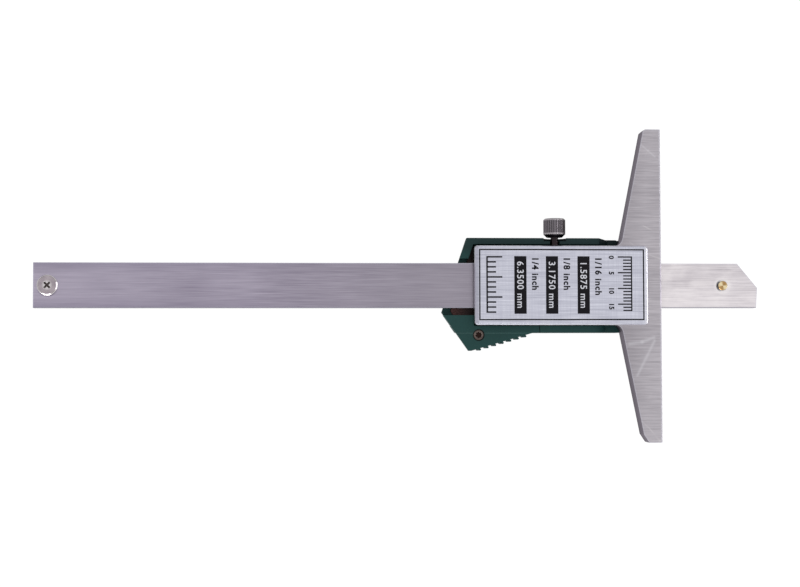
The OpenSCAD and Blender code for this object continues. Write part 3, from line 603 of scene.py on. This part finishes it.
# %% Material: nameplate
plate_metal, tree, shader = start_material("plate_metal", Metallic=1.0)
grain = use(tree, grain_group, Line_Length=12.0, Line_Width=0.2)
cross_place = vector_calc(tree, "MULTIPLY", place_mm(tree), (2.6, 0.04, 0.04))
cross_grain = noise(tree, cross_place, 1.0, 2.0)
up = use(tree, facing_group, Axis=UP)["Facing"]
colour = blend_colour(tree, grain["Grain"], srgb(184, 185, 199), srgb(226, 227, 239))
cross_grain = remap(tree, cross_grain, 0.35, 0.65, 0.0, 0.35)
colour = blend_colour(tree, cross_grain, colour, srgb(184, 184, 200))
place = parts_of(tree, place_mm(tree))
plate_low, plate_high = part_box("nameplate")
plate_tail, plate_tip = plate_low.x / MM, plate_high.x / MM
TAIL_MARGIN, TIP_MARGIN, RIM_FADE = 1.4, 1.3, 0.3
rim_end = plate_tail + TAIL_MARGIN
# Painted shade on the rim at the tail.
painted_shade_tail_rim = remap(tree, place[0], rim_end - RIM_FADE, rim_end, 0.5, 0.0)
colour = blend_colour(tree, painted_shade_tail_rim, colour, srgb(138, 136, 150))
rim_start = plate_tip - TIP_MARGIN
# Painted highlight on the rim at the tip.
painted_highlight_tip_rim = remap(tree, place[0], rim_start, rim_start + RIM_FADE, 0.0, 0.3)
colour = blend_colour(tree, painted_highlight_tip_rim, colour, srgb(255, 252, 255))
# Painted highlight on the rolled edge: every face that does not look up.
colour = blend_colour(tree, up, srgb(250, 250, 255), colour)
feed(tree, shader["Base Color"], colour)
feed(tree, shader["Roughness"], between(tree, grain["Grain"], 0.27, 0.36))
feed(tree, shader["Normal"], bump(tree, times(tree, grain["Grain"], up), 0.002, None, 0.5))
finish_nodes(plate_metal, "nameplate")

# %% [markdown]
# ## Green moulded plastic
#
# The housing, the back half of the thumb grip and the battery cover are one dark green plastic with
# a fine mould grain. Its sheen is low, so the base colour does most of the work. Edges that hands
# rub get a little lighter. The fine crease where the grip leaves the housing gets a painted
# highlight. The rim beside the lock screw gets painted shade that makes it greyer, with more painted
# shade where it sinks under the base, and the mouth of the grip screw's hole gets painted shade too.

# %% Material: green plastic
green_plastic, tree, shader = start_material("green_plastic", Specular_IOR_Level=0.22)
mould = use(tree, mould_group, Size=0.16)
clouds = use(tree, cloud_group, Size=9.0)["Clouds"]
edge = use(tree, edge_group, Radius=0.15)
colour = blend_colour(tree, mould["Specks"], srgb(22, 56, 54), srgb(30, 67, 65))
colour = blend_colour(tree, times(tree, clouds, 0.35), colour, srgb(34, 71, 70))
colour = blend_colour(tree, times(tree, edge["Edge"], 0.4), colour, srgb(66, 104, 100))
grip_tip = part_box("thumb_grip")[1].x / MM
place = parts_of(tree, place_mm(tree))
CREASE_Y, CREASE_STOP = -15.15, (1.5, 1.0)
# Painted highlight along the crease, on faces that look up.
from_crease = calc(tree, "ABSOLUTE", calc(tree, "SUBTRACT", place[1], CREASE_Y))
painted_crease_highlight = remap(tree, from_crease, 0.06, 0.2, 0.25, 0.0)
crease_stop = [grip_tip - before for before in CREASE_STOP]
painted_crease_highlight = times(tree, painted_crease_highlight, remap(tree, place[0], *crease_stop, 1.0, 0.0))
painted_crease_highlight = times(tree, painted_crease_highlight, use(tree, facing_group)["Facing"])
colour = blend_colour(tree, painted_crease_highlight, colour, srgb(92, 126, 124))
# Painted shade in the mouth of the grip screw's hole.
painted_shade_mouth = use(tree, near_group, Axis_At=node_centre("grip_screw"), From=1.75, To=2.05)["Near"]
colour = blend_colour(tree, times(tree, painted_shade_mouth, 0.85), colour, srgb(10, 16, 16))
RIM_Y, SUNK_Y, SUNK_FROM_TIP = (10.0, 12.0), (9.0, 10.0), (8.3, 7.2)
# Painted shade on the rim beside the lock screw.
rim = remap(tree, place[1], *RIM_Y, 0.0, 0.65)
colour = blend_colour(tree, rim, colour, srgb(23, 39, 41))
housing_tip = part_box("front_housing")[1].x / MM
sunk_x = [housing_tip - before for before in SUNK_FROM_TIP]
# More painted shade where the rim sinks under the base.
painted_shade_sunk = times(tree, remap(tree, place[0], *sunk_x, 0.0, 0.65), remap(tree, place[1], *SUNK_Y))
colour = blend_colour(tree, painted_shade_sunk, colour, srgb(10, 28, 30))
feed(tree, shader["Base Color"], colour)
feed(tree, shader["Roughness"], between(tree, mould["Specks"], 0.48, 0.62))
feed(tree, shader["Normal"], bump(tree, mould["Height"], 0.012, edge["Normal"], 0.5))
finish_nodes(green_plastic, "front_housing", "thumb_grip", "battery_cover")

# %% [markdown]
# ## Screws, pins and contacts
#
# The small metal parts are plated or turned rather than brushed, so they share one function: a
# clouded tone, a brighter worn edge, and turned rings round an axis where a lathe made the part.
# The stop screw also has painted highlights: a pale ring at its rim and a pale lip round its recess.
# The axis of each part comes from the node's own box.

# %% Material: turned and plated metal
RIM_RING, LIP = (0.32, 0.18), (1.0, 1.7)


def head_top(name):
    low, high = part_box(name)
    return ((low.x + high.x) / 2 / MM, (low.y + high.y) / 2 / MM, high.z / MM)


def plated_metal(name, dark, light, worn, roughness, rings_at=None, pitch=0.3, ring_depth=0.01,
                 recess=None, dirt_and_shade=None, side=None, highlight_fans=None, rim=None):
    material, tree, shader = start_material(name, Metallic=1.0)
    clouds = use(tree, cloud_group, Size=1.6)["Clouds"]
    edge = use(tree, edge_group, Radius=0.12)
    colour = blend_colour(tree, clouds, dark, light)
    if highlight_fans is not None:
        # Painted highlights: light fans round the axis of a turned end.
        painted_fan_highlight = use(tree, highlight_fan_group, Axis_At=rings_at, Turn=highlight_fans[0])["Highlight Fans"]
        colour = blend_colour(tree, times(tree, painted_fan_highlight, 0.8), colour, highlight_fans[1])
    if side is not None:
        # Painted shade on faces that do not look up.
        colour = blend_colour(tree, use(tree, facing_group)["Facing"], side, colour)
    colour = blend_colour(tree, times(tree, edge["Edge"], 0.8), colour, worn)
    if rim is not None:
        # Painted highlights: a pale ring at the rim and a pale lip round the recess.
        inner = use(tree, near_group, Axis_At=rings_at,
                    From=rim - RIM_RING[0], To=rim - RIM_RING[1])["Near"]
        lip = use(tree, near_group, Axis_At=rings_at, From=LIP[0], To=LIP[1])["Near"]
        ring = calc(tree, "MAXIMUM", calc(tree, "SUBTRACT", 1.0, inner), times(tree, lip, 0.6))
        colour = blend_colour(tree, times(tree, ring, 0.7), colour, worn)
    if recess is not None:
        # Dirt and painted shade darken the recess.
        inside = use(tree, recess_group, Head_Top=recess[0], Reach=recess[1])["Recess"]
        colour = blend_colour(tree, times(tree, inside, 0.95), colour, dirt_and_shade)
    feed(tree, shader["Base Color"], colour)
    feed(tree, shader["Roughness"], between(tree, clouds, roughness - 0.05, roughness + 0.06))
    if rings_at is None:
        height = use(tree, mould_group, Size=0.2)["Height"]
        feed(tree, shader["Normal"], bump(tree, height, 0.004, edge["Normal"], 0.5))
    else:
        rings = use(tree, rings_group, Axis_At=rings_at, Pitch=pitch)["Height"]
        feed(tree, shader["Normal"], bump(tree, rings, ring_depth, edge["Normal"]))
    return material


print("top of the stop screw's head in mm:", [round(v, 2) for v in head_top("stop_screw")])

# %% [markdown]
# ### Each screw, pin and contact
#
# From here on only tones, roughness and single marks differ. The brass pin shows its turned end, so
# it gets deep rings, painted highlights in fans and painted shade on its side. The screws that show
# have a recess darkened with dirt and painted shade, and the contacts are plain nickel or gold.

# %% Materials: screws, pins and contacts
# The stop screw's rim ring and lip are painted highlights; its recess has dirt and painted shade.
finish_nodes(plated_metal(
    "nickel_screw", srgb(150, 140, 148), srgb(176, 166, 172), srgb(255, 252, 250), 0.24,
    rings_at=node_centre("stop_screw"), pitch=0.5, ring_depth=0.004,
    recess=(head_top("stop_screw"), 1.5), dirt_and_shade=srgb(52, 42, 40), rim=3.2), "stop_screw")
# The pin's fans are painted highlights and its side gets painted shade.
finish_nodes(plated_metal(
    "turned_brass", srgb(164, 128, 82), srgb(196, 160, 108), srgb(250, 236, 184), 0.2,
    rings_at=node_centre("stop_pin"), pitch=0.6, ring_depth=0.03, side=srgb(36, 24, 14),
    highlight_fans=(0.6, srgb(252, 238, 198))), "stop_pin")
finish_nodes(plated_metal(
    "gib_brass", srgb(168, 132, 70), srgb(196, 160, 92), srgb(230, 205, 140), 0.34),
    "gib_strip", "lock_pad")
# The grip screw's recess has dirt and painted shade.
finish_nodes(plated_metal(
    "dark_screw", srgb(84, 72, 68), srgb(122, 110, 104), srgb(214, 204, 198), 0.3,
    recess=(head_top("grip_screw"), 1.15), dirt_and_shade=srgb(34, 20, 18)),
    "grip_screw", "housing_screws", "gib_screws")
finish_nodes(plated_metal(
    "contact_nickel", srgb(170, 168, 164), srgb(196, 194, 190), srgb(235, 232, 226), 0.26),
    "negative_contact", "positive_contact")
finish_nodes(plated_metal(
    "contact_gold", srgb(196, 158, 84), srgb(222, 188, 116), srgb(250, 226, 164), 0.25),
    "button_domes", "port_contacts")
finish_nodes(plated_metal(
    "cell_steel", srgb(160, 160, 164), srgb(190, 190, 194), srgb(232, 232, 236), 0.24,
    rings_at=node_centre("coin_cell"), pitch=0.6, ring_depth=0.003), "coin_cell")

# %% [markdown]
# ## The knurled lock screw
#
# The head's straight teeth are real, cut in the CAD. The finish is dark nickel: the grooves between
# the teeth are darker than the crests, and the shaft, which the head shades, is darker still. The
# outer rim is lighter, the inner shoulder gets a painted highlight, and the side towards the
# measuring tip gets painted shade. The distance from the screw's axis tells a groove from a crest.

# %% Material: knurled dark nickel
knurled_nickel, tree, shader = start_material("knurled_nickel", Metallic=1.0)
lock_low, lock_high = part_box("lock_screw")
lock_axis = (lock_low + lock_high) / 2 / MM
HEAD_HEIGHT, GROOVE = 6.0, 0.22
head_end, head_start = lock_high.y / MM, lock_high.y / MM - HEAD_HEIGHT
crest_r = (lock_high.x - lock_low.x) / 2 / MM
radius = from_axis(tree, (lock_axis.x, 0.0, lock_axis.z), across=(1, 0, 1))
crest = remap(tree, radius, crest_r - GROOVE, crest_r - 0.04)
place = parts_of(tree, place_mm(tree))
on_head = remap(tree, place[1], head_start - 0.1, head_start + 0.1)
outer_end = remap(tree, place[1], head_end - 0.75, head_end - 0.45)
from_shoulder = calc(tree, "ABSOLUTE", calc(tree, "SUBTRACT", place[1], head_start + 1.1))
tip_crest = lock_axis.x + crest_r
# Painted shade on the side towards the measuring tip.
painted_shade_tip_side = remap(tree, place[0], tip_crest - 1.6, tip_crest - 0.9, 0.0, 0.75)
clouds = use(tree, cloud_group, Size=1.2)["Clouds"]
edge = use(tree, edge_group, Radius=0.1)
colour = blend_colour(tree, crest, srgb(56, 52, 56), srgb(126, 120, 126))
colour = blend_colour(tree, times(tree, outer_end, 0.6), colour, srgb(206, 200, 204))
# Painted highlight on the inner shoulder.
painted_highlight_shoulder = remap(tree, from_shoulder, 0.15, 0.4, 0.55, 0.0)
colour = blend_colour(tree, painted_highlight_shoulder, colour, srgb(206, 200, 204))
colour = blend_colour(tree, painted_shade_tip_side, colour, srgb(34, 32, 30))
colour = blend_colour(tree, on_head, srgb(50, 44, 46), colour)
worn = times(tree, edge["Edge"], 0.3)
feed(tree, shader["Base Color"], blend_colour(tree, worn, colour, srgb(196, 190, 192)))
feed(tree, shader["Roughness"], between(tree, clouds, 0.18, 0.28))
feed(tree, shader["Normal"], bump(tree, clouds, 0.01, edge["Normal"], 0.4))
finish_nodes(knurled_nickel, "lock_screw")

# %% [markdown]
# ## The circuit board
#
# The board shows through the slot beside the beam as a reddish brown strip. It has a lacquer coat
# over copper tracks, which here are a repeating pattern of straight lines, lighter than the rest.
# Only its tail end keeps its lighter colour; towards the beam and the slider it gets painted shade.

# %% Material: board
board_lacquer, tree, shader = start_material("board_lacquer", Specular_IOR_Level=0.25)
tracks = add(tree, "ShaderNodeTexBrick", {
    "Vector": place_mm(tree), "Scale": 0.55, "Mortar Size": 0.09, "Mortar Smooth": 0.2,
}, offset=0.37, squash=0.6).outputs["Fac"]
copper = times(tree, tracks, 0.5)
clouds = use(tree, cloud_group, Size=3.0)["Clouds"]
colour = blend_colour(tree, clouds, srgb(74, 44, 43), srgb(92, 58, 56))
colour = blend_colour(tree, copper, colour, srgb(106, 68, 62))
place = parts_of(tree, place_mm(tree))
board_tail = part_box("circuit_board")[0].x / MM
# Painted shade towards the slider, away from the tail end.
painted_shade_under_slider = remap(tree, place[0], board_tail + 1.0, board_tail + 7.0)
feed(tree, shader["Base Color"], blend_colour(tree, painted_shade_under_slider, colour, srgb(30, 18, 18)))
feed(tree, shader["Roughness"], between(tree, clouds, 0.38, 0.5))
feed(tree, shader["Normal"], bump(tree, tracks, 0.03))
finish_nodes(board_lacquer, "circuit_board")

# %% [markdown]
# ## Moulded and cast pieces
#
# Resin, rubber and small plastic pieces differ in tone, in roughness and in how coarse their grain
# is. They are wired in the same way, so one function makes them all. Their edges catch a little
# light.

# %% Materials: moulded and cast pieces
def moulded(name, dark, light, roughness, grain_mm=0.2, depth=0.01, edge_light=0.25):
    """A plain moulded or cast finish: two close tones, a fine grain and a soft edge."""
    material, tree, shader = start_material(name)
    mould = use(tree, mould_group, Size=grain_mm)
    edge = use(tree, edge_group, Radius=0.12)
    colour = blend_colour(tree, mould["Specks"], dark, light)
    edge_tone = times(tree, edge["Edge"], edge_light)
    feed(tree, shader["Base Color"], blend_colour(tree, edge_tone, colour, srgb(225, 225, 222)))
    feed(tree, shader["Roughness"],
         between(tree, mould["Specks"], roughness - 0.05, roughness + 0.08))
    feed(tree, shader["Normal"], bump(tree, mould["Height"], depth, edge["Normal"], 0.5))
    return material


finish_nodes(moulded(
    "cured_resin", srgb(18, 18, 18), srgb(30, 29, 28), 0.3, 0.6, 0.03), "board_chips")
finish_nodes(moulded(
    "white_plastic", srgb(214, 213, 208), srgb(228, 227, 222), 0.42), "lcd_tray")
finish_nodes(moulded(
    "zebra_rubber", srgb(196, 136, 142), srgb(212, 156, 160), 0.5, 0.3), "zebra_strips")
finish_nodes(moulded(
    "port_rubber", srgb(24, 24, 24), srgb(36, 36, 35), 0.55, 0.12, edge_light=0.1), "port_cover")
finish_nodes(moulded(
    "orange_plastic", srgb(206, 92, 32), srgb(222, 108, 44), 0.38, 0.14), "power_button")
finish_nodes(moulded(
    "grey_plastic", srgb(62, 65, 68), srgb(78, 81, 84), 0.42, 0.14), "zero_button", "unit_button")
finish_nodes(moulded(
    "scale_film", srgb(96, 96, 102), srgb(110, 110, 116), 0.3, 0.5, 0.004, edge_light=0.1),
    "scale_strip")

# %% [markdown]
# ## The display side
#
# The gauge lies on its display, but the object is looked at from below too. The front panel is
# brushed aluminium like the nameplate, the display glass is grey-green, and a clear acrylic window
# covers it. Glass keeps plain numbers for its transmission, so that it exports well.

# %% Materials: panel, display glass, window
finish_nodes(brushed_steel(
    "panel_metal", srgb(160, 162, 168), srgb(196, 198, 204),
    (srgb(150, 150, 154), srgb(160, 160, 164)), 0.34, length=14.0, width=0.1), "front_panel")

display_glass, tree, shader = start_material("display_glass", Coat_Weight=0.3, Coat_Roughness=0.1)
clouds = use(tree, cloud_group, Size=12.0)["Clouds"]
dots = use(tree, mould_group, Size=0.35)["Specks"]
colour = blend_colour(tree, clouds, srgb(142, 152, 132), srgb(156, 166, 146))
dots = times(tree, dots, 0.2)
feed(tree, shader["Base Color"], blend_colour(tree, dots, colour, srgb(130, 140, 122)))
feed(tree, shader["Roughness"], between(tree, clouds, 0.2, 0.28))
finish_nodes(display_glass, "lcd_panel")

clear_acrylic, tree, shader = start_material("clear_acrylic", Transmission_Weight=1.0, IOR=1.49)
smears = use(tree, cloud_group, Size=5.0)["Clouds"]
feed(tree, shader["Base Color"],
     blend_colour(tree, smears, srgb(244, 248, 248), srgb(252, 254, 254)))
feed(tree, shader["Roughness"], between(tree, smears, 0.02, 0.07))
finish_nodes(clear_acrylic, "lcd_window")

# %% [markdown]
# ## Printing on the nameplate
#
# The plate carries a fine frame line, three black bars with light figures, and two short rules.
# Ink has a real thickness, about 0.02 mm, so each print is a thin solid on the plate: it keeps its
# crisp edge in every view.

# %% Inks
INK = 0.02


def ink(name, dark, light, smooth, rough, grain_mm=0.1, **values):
    """A printed finish: a fine speckle of two close tones."""
    material, tree, shader = start_material(name, **values)
    speckle = use(tree, mould_group, Size=grain_mm)["Specks"]
    feed(tree, shader["Base Color"], blend_colour(tree, speckle, dark, light))
    feed(tree, shader["Roughness"], between(tree, speckle, smooth, rough))
    return material


black_ink = ink("black_ink", srgb(14, 12, 17), srgb(24, 22, 28), 0.5, 0.65, Specular_IOR_Level=0.12)
silver_ink = ink("silver_ink", srgb(200, 201, 210), srgb(228, 229, 236), 0.35, 0.45, Metallic=0.6)
print("inks:", black_ink.name, silver_ink.name, "thickness mm:", INK)

# %% [markdown]
# ### From an outline to a printed piece
#
# A print is drawn as closed flat outlines in millimetres, and each becomes a thin solid: a lower
# face, an upper face and a wall round them. Every printed piece rides on the body that carries it,
# so that it moves along when the gauge is posed.

# %% Helpers for printed pieces
def add_piece(name, mesh, material, body):
    piece = bpy.data.objects.new(name, mesh)
    bpy.context.scene.collection.objects.link(piece)
    mesh.materials.clear()
    mesh.materials.append(material)
    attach(piece, body)
    return piece


def thick_print(name, outlines, z, material):
    """Closed flat outlines in mm, each thickened upwards from height z."""
    shape = bmesh.new()
    for outline in outlines:
        low = [shape.verts.new(Vector((x, y, z)) * MM) for x, y in outline]
        high = [shape.verts.new(Vector((x, y, z + INK)) * MM) for x, y in outline]
        shape.faces.new(list(reversed(low)))
        shape.faces.new(high)
        for i in range(len(outline)):
            j = (i + 1) % len(outline)
            shape.faces.new((low[i], low[j], high[j], high[i]))
    bmesh.ops.recalc_face_normals(shape, faces=shape.faces)
    mesh = bpy.data.meshes.new(name)
    shape.to_mesh(mesh)
    shape.free()
    return add_piece(name, mesh, material, "head")


def rounded_bar(x0, y0, x1, y1, r=0.12, steps=3):
    """A bar with slightly rounded corners, as a screen print gives them."""
    points = []
    corners = ((x1 - r, y1 - r), (x0 + r, y1 - r), (x0 + r, y0 + r), (x1 - r, y0 + r))
    for quarter, (cx, cy) in enumerate(corners):
        for i in range(steps + 1):
            a = radians(90 * (quarter + i / steps))
            points.append((cx + r * cos(a), cy + r * sin(a)))
    return points


print("points of one rounded bar:", len(rounded_bar(0, 0, 1, 1)))

# %% [markdown]
# ### Frame line and bars
#
# The frame line is four thin strips that meet at mitred corners. The bars are where the photo has
# them, measured from the plate's own corners.

# %% Print the frame line and the bars
plate_top = plate_high.z / MM
LINE = 0.42
LOWER_MARGIN, UPPER_MARGIN = 1.5, 1.1


def frame_corners(inset):
    """The corners of the frame line's rectangle, moved in by inset mm."""
    left, right = plate_tail + TAIL_MARGIN + inset, plate_tip - TIP_MARGIN - inset
    bottom = plate_low.y / MM + LOWER_MARGIN + inset
    top = plate_high.y / MM - UPPER_MARGIN - inset
    return (left, bottom), (right, bottom), (right, top), (left, top)


outer, inner = frame_corners(0.0), frame_corners(LINE)
strips = [(outer[i], outer[(i + 1) % 4], inner[(i + 1) % 4], inner[i]) for i in range(4)]
thick_print("plate_frame_line", strips, plate_top, black_ink)

FIRST_BAR, BAR_STEP, BAR_WIDTH = 12.6, 10.1, 3.9
BAR_Y = (-9.05, 9.2)
bar_x = [plate_tail + FIRST_BAR + BAR_STEP * i for i in range(3)]
for i, x in enumerate(bar_x):
    bar = rounded_bar(x, BAR_Y[0], x + BAR_WIDTH, BAR_Y[1])
    thick_print(f"plate_bar_{i + 1}", [bar], plate_top, black_ink)
print("bars start at x mm:", [round(x, 2) for x in bar_x])

# %% [markdown]
# ### Figures
#
# The bars and the captions beside them hold a small table that turns common fractions of an inch
# into millimetres. It runs down the plate, with the heads of its figures towards the measuring
# face. A text object makes the outlines, its offset makes them as bold as screen print, and it is
# turned into a plain mesh so that it exports like any other piece.

# %% Print the figures
CAPITAL = 0.69  # height of the built-in font's capitals, as a share of its size


def figures(name, text, x, y, height, z, material, bold, spacing=1.0):
    """Text that runs down the plate from (x, y), its capitals height mm tall, bold mm heavier."""
    curve = bpy.data.curves.new(name, "FONT")
    curve.body = text
    curve.size = height / CAPITAL * MM
    curve.offset = bold * MM
    curve.space_character = spacing
    curve.extrude = INK / 2 * MM
    curve.resolution_u = 3
    drawn = bpy.data.objects.new(name + "_drawn", curve)
    mesh = bpy.data.meshes.new_from_object(drawn)
    bpy.data.objects.remove(drawn)
    place = Matrix.Translation(Vector((x, y, z + INK / 2)) * MM)
    mesh.transform(place @ Euler((0, 0, radians(-90))).to_matrix().to_4x4())
    return add_piece(name, mesh, material, "head")


INCH = 25.4
FRACTIONS = (4, 8, 16)
FIGURE_X, FIGURE_Y, FIGURE_HEIGHT = 0.95, 7.6, 2.05
CAPTION_X, CAPTION_Y, CAPTION_HEIGHT = 1.85, 9.0, 1.95
for x, part in zip(bar_x, FRACTIONS):
    figures(f"plate_figures_{part}", f"{INCH / part:.4f} mm", x + FIGURE_X, FIGURE_Y,
            FIGURE_HEIGHT, plate_top + INK, silver_ink, bold=0.03, spacing=1.12)
    figures(f"plate_caption_{part}", f"1/{part} inch", x + BAR_WIDTH + CAPTION_X, CAPTION_Y,
            CAPTION_HEIGHT, plate_top, black_ink, bold=0.1, spacing=1.15)
print("table:", [f"1/{part} inch = {INCH / part:.4f} mm" for part in FRACTIONS])

# %% [markdown]
# ### The rules
#
# Next to the table lie two short rules, one in millimetres and one in sixteenths of an inch, with
# longer lines at the main divisions, as on any workshop rule. One function draws both: only the
# step, the lengths and the side that the lines grow to differ.

# %% Print the rules
def rule(name, x, direction, step, long_every, lengths, count, line):
    """Lines across the plate from x, one step apart, all growing from one spine."""
    first = BAR_Y[1] - line / 2
    x0, x1 = sorted((x, x - direction * line))
    lines = [rounded_bar(x0, first - (count - 1) * step - line / 2, x1, BAR_Y[1], 0.05, 1)]
    for i in range(count):
        y = first - i * step
        length = lengths[1] if i % long_every == 0 else lengths[0]
        x0, x1 = sorted((x, x + direction * length))
        lines.append(rounded_bar(x0, y - line / 2, x1, y + line / 2, 0.05, 1))
    thick_print(name, lines, plate_top, black_ink)


mm_rule_x, inch_rule_x = plate_tip - 5.6, plate_tail + 4.2
rule("plate_rule_mm", mm_rule_x, direction=-1, step=1.0, long_every=5, lengths=(2.5, 4.2),
     count=18, line=0.42)
MARK_X, MARK_LIFT, MARK_HEIGHT = 7.0, 0.2, 1.5
for mark in (0, 5, 10, 15):
    figures(f"plate_rule_figure_{mark}", str(mark), mm_rule_x - MARK_X,
            BAR_Y[1] - mark + MARK_LIFT, MARK_HEIGHT, plate_top, black_ink, bold=0.08)
rule("plate_rule_inch", inch_rule_x, direction=1, step=INCH / 16, long_every=4,
     lengths=(2.6, 4.6), count=12, line=0.5)
print("rules at x mm:", round(mm_rule_x, 2), round(inch_rule_x, 2))

# %% [markdown]
# ### The display's digits
#
# The display shows the depth that the beam stands out: 31.60 mm. Its figures are built from the
# seven slanted bars that every such display has, printed on the glass behind the window, and read
# from below with the lock screw up.

# %% Draw the display's digits
lcd_low, lcd_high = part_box("lcd_panel")
SEGMENTS = {"0": "abcdef", "1": "bc", "3": "abcdg", "6": "acdefg"}
DIGIT_W, DIGIT_H, BAR, SLANT = 3.3, 7.2, 0.85, 0.1
BAR_GAP, DIGIT_GAP, DOT_ROOM = 0.08, 1.3, 0.9


def segment(kind):
    """One bar of a digit as a six-cornered outline, with its ends pointed."""
    half_h = DIGIT_H / 2
    ends = {
        "a": ((0, DIGIT_H), (DIGIT_W, DIGIT_H)), "g": ((0, half_h), (DIGIT_W, half_h)),
        "d": ((0, 0), (DIGIT_W, 0)),
        "f": ((0, half_h), (0, DIGIT_H)), "b": ((DIGIT_W, half_h), (DIGIT_W, DIGIT_H)),
        "e": ((0, 0), (0, half_h)), "c": ((DIGIT_W, 0), (DIGIT_W, half_h)),
    }[kind]
    start, end = Vector(ends[0]), Vector(ends[1])
    run = (end - start).normalized()
    side = Vector((-run.y, run.x)) * BAR / 2
    start += run * BAR_GAP
    end -= run * BAR_GAP
    tip = run * BAR / 2
    return [start, start + tip - side, end - tip - side, end, end - tip + side, start + tip + side]


digit_ink = ink("digit_ink", srgb(28, 32, 30), srgb(38, 42, 40), 0.35, 0.45, grain_mm=0.15)
lcd_centre = (lcd_low + lcd_high) / 2 / MM
digit_pitch = DIGIT_W + DIGIT_GAP
FIRST_DIGIT_X = -9.5
bars = []
for i, digit in enumerate("3160"):
    left = FIRST_DIGIT_X + i * digit_pitch + (DOT_ROOM if i > 1 else 0)
    for kind in SEGMENTS[digit]:
        bars.append([(left + p.x + SLANT * p.y, p.y - DIGIT_H / 2) for p in segment(kind)])
DOT = 0.8
dot_x, dot_y = FIRST_DIGIT_X + 2 * digit_pitch - 0.5, -(DIGIT_H + DOT) / 2
bars.append([(dot_x, dot_y), (dot_x + DOT, dot_y),
             (dot_x + DOT, dot_y + DOT), (dot_x, dot_y + DOT)])
seen_from_below = [[(lcd_centre.x - x, lcd_centre.y + y) for x, y in reversed(bar)] for bar in bars]
thick_print("display_digits", seen_from_below, lcd_low.z / MM - INK, digit_ink)
print("digit bars:", len(bars))

# %% [markdown]
# ## Floor
#
# The photo's ground is plain white. The floor is a real plane just under the display side, so the
# object keeps a faint shadow. Light Path lets it look white to the camera, while it throws less
# light on the object. Seen from below it is clear, so that the display can be looked at.

# %% The floor
floor_mesh = bpy.data.meshes.new("floor")
HALF_FLOOR = 3.0
floor_z = cad_box[0][2] - 0.05 * MM
corners = ((-1, -1), (1, -1), (1, 1), (-1, 1))
floor_mesh.from_pydata(
    [(x * HALF_FLOOR, y * HALF_FLOOR, floor_z) for x, y in corners], [], [(0, 1, 2, 3)])
floor = bpy.data.objects.new("floor", floor_mesh)
bpy.context.scene.collection.objects.link(floor)
floor_paper = bpy.data.materials.new("floor_paper")
floor_paper.use_nodes = True
tree = floor_paper.node_tree
tree.nodes.clear()


def shown_white(tree):
    """1 for a ray that shows the ground itself, from the camera or through the clear window."""
    path = tree.nodes.new("ShaderNodeLightPath").outputs
    return calc(tree, "ADD", path["Is Camera Ray"], path["Is Transmission Ray"], clamp=True)


GLOW_ON_OBJECT, GLOW_SHOWN = 0.6, 0.95
matte = add(tree, "ShaderNodeBsdfDiffuse", {"Color": (0.12, 0.12, 0.12, 1)}).outputs[0]
glow = add(tree, "ShaderNodeEmission", {
    "Strength": between(tree, shown_white(tree), GLOW_ON_OBJECT, GLOW_SHOWN)}).outputs[0]
paper = add(tree, "ShaderNodeAddShader", {0: matte, 1: glow}).outputs[0]
clear = tree.nodes.new("ShaderNodeBsdfTransparent").outputs[0]
back_side = tree.nodes.new("ShaderNodeNewGeometry").outputs["Backfacing"]
see_through = add(tree, "ShaderNodeMixShader", {0: back_side, 1: paper, 2: clear}).outputs[0]
feed(tree, tree.nodes.new("ShaderNodeOutputMaterial").inputs["Surface"], see_through)
floor_mesh.materials.append(floor_paper)
print("floor at z mm:", round(floor_z / MM, 2))

# %% [markdown]
# ## World and lamps
#
# A light tent does nearly all of the lighting: bright overhead and darker towards the horizon, so
# flat metal that looks up is light, while steep sides fall off to dark. A brighter band halfway up
# stands for a ring of soft boxes: it is what draws a light line along every rolled edge and screw
# rim. The same tent continues below the horizon, for views from underneath. Two low, weak strip
# lamps add the sharpest lights, on screw rims and along the measuring edge.

# %% World and lamps
world = bpy.data.worlds.new("studio")
bpy.context.scene.world = world
world.use_nodes = True
tree = world.node_tree
tree.nodes.clear()
direction = tree.nodes.new("ShaderNodeTexCoord").outputs["Generated"]
height = calc(tree, "ABSOLUTE", parts_of(tree, direction)[2])
TENT_TOP, TENT_SIDE, BAND, BAND_HEIGHT = 0.9, 0.5, 0.5, 0.4
WHITE = (1, 1, 1, 1)
slope = remap(tree, height, 0.1, 0.9, TENT_SIDE, TENT_TOP)
from_band = calc(tree, "ABSOLUTE", calc(tree, "SUBTRACT", height, BAND_HEIGHT))
strength = calc(tree, "ADD", slope, remap(tree, from_band, 0.06, 0.2, BAND, 0.0))
tent = add(tree, "ShaderNodeBackground", {"Color": WHITE, "Strength": strength}).outputs[0]
white = add(tree, "ShaderNodeBackground", {"Color": WHITE, "Strength": 1.0}).outputs[0]
sky = add(tree, "ShaderNodeMixShader", {0: shown_white(tree), 1: tent, 2: white}).outputs[0]
feed(tree, tree.nodes.new("ShaderNodeOutputWorld").inputs["Surface"], sky)


def soft_lamp(name, place, target, size, power):
    lamp = bpy.data.lights.new(name, "AREA")
    lamp.shape = "RECTANGLE"
    lamp.size, lamp.size_y = size
    lamp.energy = power
    holder = bpy.data.objects.new(name, lamp)
    holder.location = place
    holder.rotation_euler = (Vector(target) - Vector(place)).to_track_quat("-Z", "Y").to_euler()
    bpy.context.scene.collection.objects.link(holder)


soft_lamp("tip_side_lamp", (0.8, -0.05, 0.08), (-0.02, 0.0, 0.0), (0.9, 0.14), 2.2)
soft_lamp("grip_side_lamp", (-0.4, -0.8, 0.1), (-0.1, 0.0, 0.0), (0.9, 0.16), 3.5)

scene = bpy.context.scene
scene.view_settings.view_transform = "Standard"
